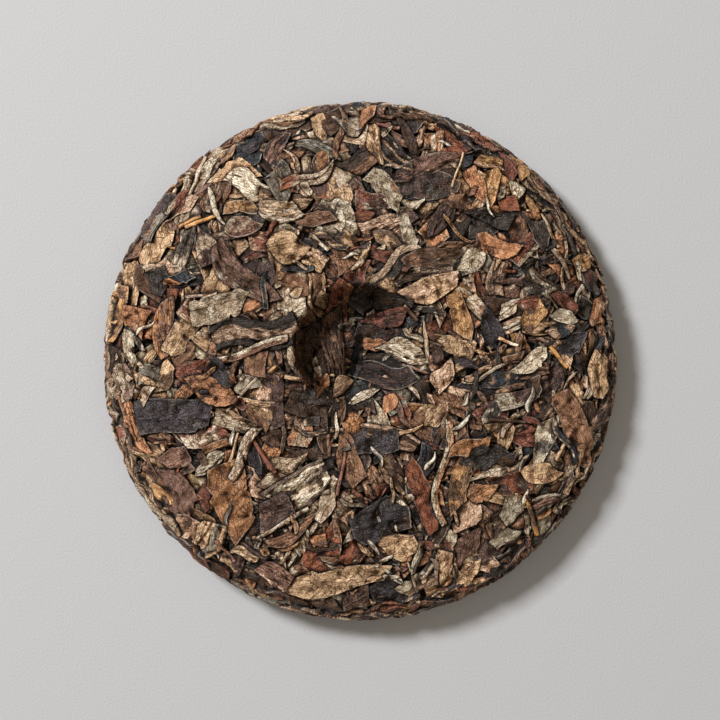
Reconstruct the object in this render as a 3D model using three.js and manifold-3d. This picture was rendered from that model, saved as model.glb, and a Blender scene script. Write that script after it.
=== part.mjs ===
// A cake of aged white tea: steamed leaves pressed in a cloth bag into a round, domed disc. The knot of
// the bag left the off-centre dimple in the upper face. Leaves cover the whole cake, lapped and torn.
// Units are millimetres, +Z is up, and the origin is the centre of the underside.
import * as THREE from "three";
import { mergeVertices } from "three/addons/utils/BufferGeometryUtils.js";
import Module from "manifold-3d";

const wasm = await Module();
wasm.setup();

// Driving dimensions of the cake
const CAKE_WIDTH = 199.4;
const CAKE_DEPTH = 201.4;
const CAKE_RADIUS = 100; // the round form that is then brought to the width and depth above
const CAKE_HEIGHT = 25;
const GIRTH_HEIGHT = 10.5; // where the rim is widest
const DOME_POWER = 4; // a higher power gives a flatter face and a tighter shoulder
const UNDER_POWER = 9;
const SPINE_RADIUS = 89; // the leaves lie across lines that fan out from a disc of this size inside
const FLATTENED = 0.3; // the leaves underneath are pressed flat by this much
const CORE_INSET = 2; // the solid core lies this far below the tips of the leaves

// Driving dimensions of the dimple
const DIMPLE_X = -4;
const DIMPLE_Y = 4;
const DIMPLE_REACH = 25.8; // mean distance from its middle to its edge
const DIMPLE_DEPTH = 13;
const DIMPLE_FLOOR = 0.82; // the share of the reach that is floor where the wall is steep
const SLOPE_SHARE = 0.72; // how much of the reach the slope to the right takes from that floor

// Driving dimensions of the leaves
const LEAF_THICKNESS = 2.3; // a torn leaf with the leaves pressed under it
const LEAF_SINK = 0.75; // how far the middle of a leaf lies below the tips of the highest ones
const LEAF_LEAN = 0.8; // how far one end of a leaf rises while the other is tucked under
const LEAF_CELLS_ALONG = 4;
const LEAF_CELLS_ACROSS = 2;
const WAVE_HEIGHT = 0.3;

// The leaves that stand out on the upper face, each with the place of its middle, its length and
// width, and its turn in degrees from +X.
const LANDMARKS = [
  // Upper left of the face
  { x: -58, y: 77, length: 15, width: 5, turn: 65 },
  { x: -71, y: 61, length: 15, width: 5, turn: 65 },
  { x: -81, y: 51, length: 15, width: 5, turn: 60 },
  { x: -59, y: 44, length: 15, width: 11, turn: -75 },
  { x: -46, y: 58, length: 13, width: 6, turn: 5 },
  { x: -45, y: 51, length: 14, width: 8, turn: 10 },
  { x: -31, y: 58, length: 16, width: 9, turn: -5 },
  { x: -12, y: 64, length: 20, width: 14, turn: -70 },
  { x: -20, y: 71, length: 23, width: 5, turn: 25 },
  { x: -27, y: 43, length: 14, width: 13, turn: 10 },
  { x: -44, y: 34, length: 31, width: 10, turn: -45 },
  { x: -54, y: 20, length: 21, width: 12, turn: 15 },
  { x: -69, y: 32, length: 11, width: 6, turn: 5 },
  { x: -68, y: 10, length: 18, width: 11, turn: 55 },
  { x: -40, y: 11, length: 33, width: 11, turn: 8 },
  { x: -43, y: 4, length: 20, width: 3, turn: 15 },
  { x: -4, y: 89, length: 13, width: 11, turn: -50 },
  // Upper right
  { x: 25, y: 73, length: 29, width: 8, turn: 18 },
  { x: 27, y: 64, length: 23, width: 12, turn: 0 },
  { x: 44, y: 67, length: 13, width: 7, turn: -70 },
  { x: 49, y: 54, length: 18, width: 8, turn: -10 },
  { x: 53, y: 44, length: 16, width: 9, turn: -10 },
  { x: 43, y: 38, length: 10, width: 9, turn: 30 },
  { x: 27, y: 39, length: 23, width: 8, turn: 12 },
  { x: 28, y: 27, length: 21, width: 13, turn: 20 },
  { x: 18, y: 51, length: 16, width: 7, turn: -75 },
  { x: 67, y: 29, length: 14, width: 7, turn: -25 },
  { x: 64, y: 21, length: 13, width: 7, turn: 5 },
  { x: 79, y: 22, length: 12, width: 7, turn: -30 },
  { x: 69, y: 51, length: 13, width: 10, turn: -40 },
  { x: 48, y: 84, length: 17, width: 4, turn: -20 },
  { x: 19, y: 7, length: 17, width: 8, turn: -10 },
  // Down in the dimple
  { x: -12, y: 3, length: 20, width: 11, turn: 85 },
  { x: -7, y: 21, length: 15, width: 8, turn: 75 },
  { x: 10, y: 14, length: 17, width: 8, turn: 10 },
  { x: 14, y: -5, length: 21, width: 6, turn: -5 },
  { x: 1, y: -13, length: 15, width: 8, turn: 30 },
  // Lower left
  { x: -91, y: -8, length: 15, width: 9, turn: -80 },
  { x: -71, y: -20, length: 31, width: 14, turn: 5 },
  { x: -56, y: -11, length: 19, width: 10, turn: -15 },
  { x: -34, y: -14, length: 23, width: 16, turn: -70 },
  { x: -70, y: -51, length: 23, width: 15, turn: -65 },
  { x: -81, y: -42, length: 17, width: 6, turn: -60 },
  { x: -48, y: -52, length: 29, width: 18, turn: -75 },
  { x: -44, y: -35, length: 20, width: 4, turn: 60 },
  { x: -22, y: -47, length: 23, width: 13, turn: 35 },
  { x: -32, y: -57, length: 14, width: 12, turn: 20 },
  { x: -27, y: -64, length: 23, width: 4, turn: 30 },
  { x: -59, y: -68, length: 14, width: 11, turn: 60 },
  { x: -33, y: -82, length: 14, width: 9, turn: -35 },
  // Lower right
  { x: 6, y: -62, length: 24, width: 20, turn: 10 },
  { x: -10, y: -83, length: 40, width: 13, turn: 5 },
  { x: 6, y: -30, length: 18, width: 11, turn: 10 },
  { x: 23, y: -52, length: 28, width: 10, turn: -70 },
  { x: 33, y: -42, length: 38, width: 3, turn: 88 },
  { x: 16, y: -71, length: 15, width: 11, turn: 0 },
  { x: 43, y: -79, length: 18, width: 7, turn: 65 },
  { x: 39, y: -46, length: 22, width: 9, turn: 75 },
  { x: 42, y: -33, length: 16, width: 8, turn: 10 },
  { x: 56, y: -6, length: 25, width: 7, turn: 12 },
  { x: 56, y: -14, length: 22, width: 8, turn: 15 },
  { x: 81, y: -23, length: 36, width: 12, turn: -60 },
  { x: 70, y: -33, length: 22, width: 12, turn: 80 },
  { x: 69, y: -42, length: 15, width: 8, turn: 0 },
  { x: 58, y: -57, length: 12, width: 8, turn: 65 },
];

// Rows of leaves laid by rule round the parts of the face, the rim and the underside that the list
// above leaves open: the distance of the row from the middle, measured along the surface, how many
// leaves it has, their mean length and width, and how far they turn from lying along the row.
const ROWS_ABOVE = [
  { reach: 104, count: 26, length: 21, width: 8, turn: 22 },
  { reach: 92, count: 13, length: 14, width: 8, turn: 80 },
];
const ROWS_BELOW = [
  { reach: 0, count: 1, length: 24, width: 16, turn: 20 },
  { reach: 25, count: 6, length: 24, width: 14, turn: 90 },
  { reach: 49, count: 9, length: 26, width: 14, turn: 90 },
  { reach: 72, count: 13, length: 26, width: 14, turn: 90 },
  { reach: 96, count: 20, length: 24, width: 12, turn: 35 },
];

// The same draws on every run
function seededDraws(seed) {
  let state = seed;
  return () => {
    state = (state * 1664525 + 1013904223) % 4294967296;
    return state / 4294967296;
  };
}
const draw = seededDraws(19);
const between = (low, high) => low + (high - low) * draw();
const radians = THREE.MathUtils.degToRad;

// The outline of the cake from the middle of the upper face to the middle of the underside: two
// quarters of a superellipse that meet at the girth.
function outlinePoint(angle) {
  const above = angle <= Math.PI / 2;
  const power = above ? DOME_POWER : UNDER_POWER;
  const rise = above ? CAKE_HEIGHT - GIRTH_HEIGHT : GIRTH_HEIGHT + FLATTENED;
  return new THREE.Vector2(
    CAKE_RADIUS * Math.abs(Math.sin(angle)) ** (2 / power),
    GIRTH_HEIGHT + rise * Math.cos(angle),
  );
}

// Points along the outline with the distance walked to each
const OUTLINE_STEPS = 1200;
const OUTLINE = Array.from({ length: OUTLINE_STEPS + 1 }, (_, i) =>
  outlinePoint((Math.PI * i) / OUTLINE_STEPS),
);
OUTLINE[OUTLINE_STEPS].x = 0;
const WALKED = OUTLINE.map(() => 0);
for (let i = 1; i < OUTLINE.length; i += 1) {
  WALKED[i] = WALKED[i - 1] + OUTLINE[i].distanceTo(OUTLINE[i - 1]);
}
const WHOLE_WALK = WALKED[OUTLINE_STEPS];

// Place of the outline at a distance along it, and the way out from the spine there: straight up or
// down over the flat of the cake, and fanning out round the rim
function walkOutline(distance) {
  const target = THREE.MathUtils.clamp(distance, 0, WHOLE_WALK);
  let low = 0;
  let high = OUTLINE_STEPS;
  while (high - low > 1) {
    const middle = (low + high) >> 1;
    if (WALKED[middle] <= target) low = middle;
    else high = middle;
  }
  const share = (target - WALKED[low]) / (WALKED[high] - WALKED[low] || 1);
  const place = OUTLINE[low].clone().lerp(OUTLINE[high], share);
  const spine = new THREE.Vector2(Math.min(place.x, SPINE_RADIUS), GIRTH_HEIGHT);
  return { place, outward: place.clone().sub(spine).normalize() };
}

// How far the dimple sinks the upper face: steep walls on all sides but for a long slope to the right
function dimpleSink(x, y) {
  const offX = x - DIMPLE_X;
  const offY = y - DIMPLE_Y;
  const angle = Math.atan2(offY, offX);
  const reach =
    DIMPLE_REACH + 5.5 * Math.cos(angle - radians(5)) - 1.5 * Math.cos(2 * (angle - radians(75)));
  const slope = Math.max(0, Math.cos(angle + radians(15))) ** 1.5;
  const share = THREE.MathUtils.smoothstep(
    Math.hypot(offX, offY) / reach,
    DIMPLE_FLOOR - SLOPE_SHARE * slope,
    1,
  );
  return DIMPLE_DEPTH * (1 - share);
}

// A point of the cake's skin, or of the space under it. The chart is a flat map seen from above
// (side 1) or from below (side -1): distance from its middle is distance walked over the surface.
function onCake(side, chartX, chartY, lift) {
  const walked = Math.hypot(chartX, chartY);
  const heading = Math.atan2(chartY, chartX);
  const { place, outward } = walkOutline(side > 0 ? walked : WHOLE_WALK - walked);
  const out = place.x + outward.x * lift;
  const x = (out * Math.cos(heading) * CAKE_WIDTH) / (2 * CAKE_RADIUS);
  const y = (out * Math.sin(heading) * CAKE_DEPTH) / (2 * CAKE_RADIUS);
  const up = place.y + outward.y * lift;
  return new THREE.Vector3(x, y, side > 0 ? up - dimpleSink(x, y) : up);
}

// A closed mesh from two like grids of points, an outer and an inner one, with a wall round their edges
function slab(outer, inner, rows, columns) {
  const positions = [...outer, ...inner].flatMap((p) => [p.x, p.y, p.z]);
  const below = outer.length;
  const at = (i, j) => i * columns + j;
  const faces = [];
  for (let i = 0; i < rows - 1; i += 1) {
    for (let j = 0; j < columns - 1; j += 1) {
      const [a, b, c, d] = [at(i, j), at(i + 1, j), at(i + 1, j + 1), at(i, j + 1)];
      faces.push(a, b, c, a, c, d);
      faces.push(below + a, below + c, below + b, below + a, below + d, below + c);
    }
  }
  const edge = [
    ...Array.from({ length: rows - 1 }, (_, i) => at(i, 0)),
    ...Array.from({ length: columns - 1 }, (_, j) => at(rows - 1, j)),
    ...Array.from({ length: rows - 1 }, (_, i) => at(rows - 1 - i, columns - 1)),
    ...Array.from({ length: columns - 1 }, (_, j) => at(0, columns - 1 - j)),
  ];
  edge.forEach((a, i) => {
    const b = edge[(i + 1) % edge.length];
    faces.push(a, below + a, below + b, a, below + b, b);
  });
  const geometry = new THREE.BufferGeometry();
  geometry.setAttribute("position", new THREE.Float32BufferAttribute(positions, 3));
  geometry.setIndex(faces);
  return geometry;
}

// One leaf as a thin wavy solid that follows the cake, narrower towards its ends, with ragged edges.
// It leans a little, so that one end lies over its neighbours and the other is tucked under them.
function leafGeometry(side, { x, y, length, width, turn }) {
  const rows = LEAF_CELLS_ALONG + 1;
  const columns = LEAF_CELLS_ACROSS + 1;
  const taper = between(0.1, 0.75);
  const waves = between(0.8, 1.6);
  const phase = between(0, 2 * Math.PI);
  const lean = LEAF_LEAN * between(0.5, 1.2) * Math.sign(between(-1, 1));
  const roll = LEAF_LEAN * between(-0.7, 0.7);
  const rise = -LEAF_SINK * between(0.7, 1.3);
  const skew = between(-0.15, 0.15) * length;
  const bend = between(-0.25, 0.25) * width;
  const outer = [];
  const inner = [];
  const walked = Math.hypot(x, y);
  const stretch = walked / (walkOutline(side > 0 ? walked : WHOLE_WALK - walked).place.x || 1);
  const heading = Math.atan2(y, x);
  const direction = radians(turn) - heading;
  for (let i = 0; i < rows; i += 1) {
    const along = (2 * i) / (rows - 1) - 1;
    const halfWidth = (width / 2) * (1 - taper * Math.abs(along) ** 2.2) * between(0.8, 1.1);
    for (let j = 0; j < columns; j += 1) {
      const across = (2 * j) / (columns - 1) - 1;
      const u = (along * length) / 2 + skew * across * Math.abs(along) * between(0.5, 1.2);
      const v = across * halfWidth * between(0.85, 1.1) + bend * (1 - 2 * along ** 2);
      const radial = u * Math.cos(direction) - v * Math.sin(direction);
      const tangential = (u * Math.sin(direction) + v * Math.cos(direction)) * (walked ? stretch : 1);
      const chartX = x + radial * Math.cos(heading) - tangential * Math.sin(heading);
      const chartY = y + radial * Math.sin(heading) + tangential * Math.cos(heading);
      const wave = WAVE_HEIGHT * Math.sin(waves * Math.PI * along + phase + across);
      const lift = Math.min(rise + lean * along + roll * across + wave, 0);
      outer.push(onCake(side, chartX, chartY, lift));
      inner.push(onCake(side, chartX, chartY, lift - LEAF_THICKNESS));
    }
  }
  const geometry = slab(outer, inner, rows, columns);
  // Seen from below the chart is mirrored, so its faces are turned round
  if (side < 0) geometry.index.array.reverse();
  return geometry;
}

// The leaves of one row: evenly spread round the cake, then nudged
function rowOfLeaves({ reach, count, length, width, turn }) {
  return Array.from({ length: count }, (_, i) => {
    const heading = (2 * Math.PI * (i + between(-0.2, 0.2))) / count;
    const distance = reach + (reach ? between(-5, 5) : 0);
    return {
      x: distance * Math.cos(heading),
      y: distance * Math.sin(heading),
      length: length * between(0.6, 1.3),
      width: width * between(0.6, 1.3),
      turn: THREE.MathUtils.radToDeg(heading) + 90 + between(-turn, turn),
    };
  });
}

// The core: the outline turned round, inset all over, with the dimple pressed into its upper face
const CORE_SEGMENTS = 48;
const CORE_RINGS_ABOVE = [4, 9, 13, 16, 19, 22, 25, 28, 32, 38, 48, 62, 78, 90, 97, 102];
const CORE_RINGS_BELOW = [102, 96, 84, 62, 30];
function coreGeometry() {
  const rings = [
    ...CORE_RINGS_ABOVE.map((walked) => [1, walked]),
    ...CORE_RINGS_BELOW.map((walked) => [-1, walked]),
  ];
  const vertices = [onCake(1, 0.01, 0, -CORE_INSET)];
  rings.forEach(([side, walked]) => {
    for (let i = 0; i < CORE_SEGMENTS; i += 1) {
      const heading = (2 * Math.PI * i) / CORE_SEGMENTS;
      vertices.push(
        onCake(side, walked * Math.cos(heading), walked * Math.sin(heading), -CORE_INSET),
      );
    }
  });
  vertices.push(onCake(-1, 0.01, 0, -CORE_INSET));
  const last = vertices.length - 1;
  const at = (ring, i) => 1 + ring * CORE_SEGMENTS + (i % CORE_SEGMENTS);
  const faces = [];
  for (let i = 0; i < CORE_SEGMENTS; i += 1) {
    faces.push(0, at(0, i), at(0, i + 1));
    for (let ring = 0; ring < rings.length - 1; ring += 1) {
      const [a, b, c, d] = [at(ring, i), at(ring + 1, i), at(ring + 1, i + 1), at(ring, i + 1)];
      faces.push(a, b, c, a, c, d);
    }
    faces.push(last, at(rings.length - 1, i + 1), at(rings.length - 1, i));
  }
  const geometry = new THREE.BufferGeometry();
  const positions = vertices.flatMap((p) => [p.x, p.y, p.z]);
  geometry.setAttribute("position", new THREE.Float32BufferAttribute(positions, 3));
  geometry.setIndex(faces);
  return geometry;
}

function solidOf(geometry) {
  const bare = geometry.clone();
  bare.deleteAttribute("normal");
  bare.deleteAttribute("uv");
  const merged = mergeVertices(bare, 1e-4);
  return new wasm.Manifold(
    new wasm.Mesh({
      numProp: 3,
      vertProperties: merged.attributes.position.array,
      triVerts: new Uint32Array(merged.index.array),
    }),
  );
}

function geometryOf(solid) {
  const mesh = solid.getMesh();
  const geometry = new THREE.BufferGeometry();
  geometry.setAttribute("position", new THREE.BufferAttribute(mesh.vertProperties, 3));
  geometry.setIndex(new THREE.BufferAttribute(mesh.triVerts, 1));
  geometry.computeVertexNormals();
  return geometry;
}

// What the cake stood on while it was pressed: everything below it is cut off flat
const TABLE_DEPTH = 20;
function tableGeometry() {
  const slabSide = 3 * CAKE_RADIUS;
  return new THREE.BoxGeometry(slabSide, slabSide, TABLE_DEPTH).translate(0, 0, -TABLE_DEPTH / 2);
}

const SMALLEST_GAP = 0.1; // details finer than this are merged
function pressedCake() {
  const leaves = [
    ...LANDMARKS.map((leaf) => leafGeometry(1, leaf)),
    ...ROWS_ABOVE.flatMap(rowOfLeaves).map((leaf) => leafGeometry(1, leaf)),
    ...ROWS_BELOW.flatMap(rowOfLeaves).map((leaf) => leafGeometry(-1, leaf)),
  ];
  const joined = wasm.Manifold.union([coreGeometry(), ...leaves].map(solidOf));
  const pressed = joined.subtract(solidOf(tableGeometry())).asOriginal().simplify(SMALLEST_GAP);
  // The largest body is the cake: what else there is are sealed pockets, which are filled, and crumbs
  const bodies = pressed.decompose().sort((a, b) => b.volume() - a.volume());
  return geometryOf(bodies[0]);
}

const teaCake = new THREE.Mesh(
  pressedCake(),
  new THREE.MeshStandardMaterial({ color: 0x6f5641, roughness: 0.85, metalness: 0 }),
);
teaCake.name = "tea_cake";

const whiteTeaCake = new THREE.Group();
whiteTeaCake.add(teaCake);
export default whiteTeaCake;
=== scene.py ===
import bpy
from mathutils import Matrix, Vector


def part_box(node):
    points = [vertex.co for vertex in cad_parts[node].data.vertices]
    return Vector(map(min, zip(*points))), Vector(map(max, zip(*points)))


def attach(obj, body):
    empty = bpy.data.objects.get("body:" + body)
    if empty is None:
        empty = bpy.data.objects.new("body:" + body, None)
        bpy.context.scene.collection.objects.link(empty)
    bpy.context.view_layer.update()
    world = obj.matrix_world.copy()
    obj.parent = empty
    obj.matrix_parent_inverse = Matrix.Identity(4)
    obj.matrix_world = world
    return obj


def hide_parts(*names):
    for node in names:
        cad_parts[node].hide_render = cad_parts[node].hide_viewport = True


bl_info = {
    "name": "White tea cake",
    "version": (1, 0, 0),
    "blender": (4, 5, 0),
    "location": "3D View > Sidebar > Tea cake",
    "description": "Lays a pressed cake of aged white tea leaf by leaf",
    "category": "Add Mesh",
}

import math
from types import SimpleNamespace

import bpy
import numpy as np
from bpy.props import FloatProperty, FloatVectorProperty, IntProperty, PointerProperty
from bpy.types import Operator, Panel, PropertyGroup

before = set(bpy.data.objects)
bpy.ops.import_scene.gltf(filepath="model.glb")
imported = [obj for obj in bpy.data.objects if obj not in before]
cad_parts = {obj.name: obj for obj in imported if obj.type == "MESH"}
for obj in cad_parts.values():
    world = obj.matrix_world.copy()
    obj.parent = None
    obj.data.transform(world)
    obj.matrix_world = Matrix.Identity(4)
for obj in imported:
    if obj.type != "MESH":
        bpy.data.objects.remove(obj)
CAKE_NODE = "tea_cake"
BODY = "root"
CAKE_LOW, CAKE_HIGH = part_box(CAKE_NODE)
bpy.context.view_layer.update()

# Shapes are worked out in millimetres and go into the meshes in metres.
MM = 0.001

# The round form under the leaves: two superellipses that meet at the girth, on a circle of 100 mm
ROUND_RADIUS = 100.0
HALF_WIDTH = min(CAKE_HIGH.x, -CAKE_LOW.x) / MM
HALF_DEPTH = min(CAKE_HIGH.y, -CAKE_LOW.y) / MM
CAKE_TOP = CAKE_HIGH.z / MM
GIRTH_HEIGHT = 10.5
DOME_POWER = 4
UNDER_POWER = 9
FLATTENED = 0.3
SPINE_RADIUS = 89.0
TIP_GAP = 0.06  # how far the highest leaf stays inside the cake's box

# The dimple that the knot of the pressing bag leaves, steep on the left and long on the right
DIMPLE_X, DIMPLE_Y = -4.0, 4.0
DIMPLE_REACH = 25.8
DIMPLE_OFF_ROUND = 5.5  # how much further it reaches on the right
DIMPLE_OVAL = 1.5
DIMPLE_DEPTH = 13.0
DIMPLE_FLOOR = 0.82  # the share of its reach that the floor takes
SLOPE_SHARE = 0.72  # how much less of it on the right
FOLD_X, CREVICE_X, FOLD_Y = -9.0, -0.8, 2.0  # a fold on the dimple's floor and the crevice right of it
FOLD_RISE, FOLD_WIDTH = 2.5, 4.5
CREVICE_DEPTH, CREVICE_WIDTH = 3.0, 1.5
DIMPLE_SHADE = 0.22  # painted shade: how much darker the leaves at its bottom are painted

# Where the outline turns under: how far the leaves of the upper face run on over the rim
FACE_REACH = 112.0
UNDER_REACH = 104.0
MAP_CELL = 0.4  # mm, of the height maps that the leaves are laid on
MAP_MARGIN = 14  # mm that a map runs on past the middles of its outermost leaves

FACE, UNDER = 1, -1

# The colours of aged white tea, each with what it is on the leaf
TONES = {
    "cream": ("#dccbb2", "old down and bleached leaf"),
    "sage": ("#bdae96", "leaf that dried green-grey"),
    "grey_green": ("#8a8274", "thick leaf that dried dark green-grey"),
    "grey_tan": ("#c2ac93", "weathered leaf"),
    "tan": ("#caa680", "underside of a mature leaf"),
    "pink_tan": ("#cfaa8e", "underside of a young leaf"),
    "ochre": ("#b88b5c", "yellowed leaf"),
    "amber": ("#b17d52", "leaf aged to amber"),
    "orange_tan": ("#c0875f", "leaf aged to orange"),
    "rust": ("#8a5035", "rusty, well aged leaf"),
    "red_brown": ("#834d3b", "red-brown leaf"),
    "brown": ("#8d664b", "brown leaf"),
    "mauve": ("#856252", "leaf with a purple cast"),
    "plum": ("#563e36", "dark purple-brown leaf"),
    "dark_brown": ("#4d3320", "nearly black brown leaf"),
    "charcoal": ("#3b3029", "nearly black grey leaf"),
    "navy": ("#2a2d34", "nearly black blue leaf"),
    "black_violet": ("#372e31", "nearly black purple leaf"),
    "orange": ("#bd8646", "bright dry stalk"),
    "silver": ("#dcd3c0", "down on a bud"),
}

DARK_TONES = ("plum", "dark_brown", "charcoal", "navy", "black_violet", "grey_green")
PALEST_TONES = ("cream", "sage", "grey_tan", "tan", "pink_tan")

# How often each colour comes up where the list of landmarks leaves the choice open
COMMON_TONES = {
    "dark_brown": 15,
    "brown": 14,
    "plum": 10,
    "charcoal": 10,
    "navy": 4,
    "black_violet": 7,
    "mauve": 9,
    "red_brown": 8,
    "grey_tan": 9,
    "tan": 16,
    "pink_tan": 7,
    "ochre": 5,
    "amber": 4,
    "orange_tan": 6,
    "rust": 5,
    "sage": 6,
    "cream": 5,
    "grey_green": 3,
}
RIM_TONES = {
    "dark_brown": 5,
    "charcoal": 4,
    "black_violet": 3,
    "plum": 3,
    "brown": 4,
    "red_brown": 2,
    "mauve": 3,
    "grey_green": 2,
    "grey_tan": 4,
    "tan": 4,
    "pink_tan": 3,
    "cream": 2,
    "ochre": 1,
}
PALE_TONES = {"cream": 3, "grey_tan": 4, "pink_tan": 3, "sage": 2, "tan": 3}
STALK_TONES = {"orange": 2, "sage": 3, "grey_tan": 5, "red_brown": 5, "dark_brown": 5, "tan": 4, "cream": 1}
BUD_TONES = {"silver": 5, "cream": 5, "sage": 3}

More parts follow.
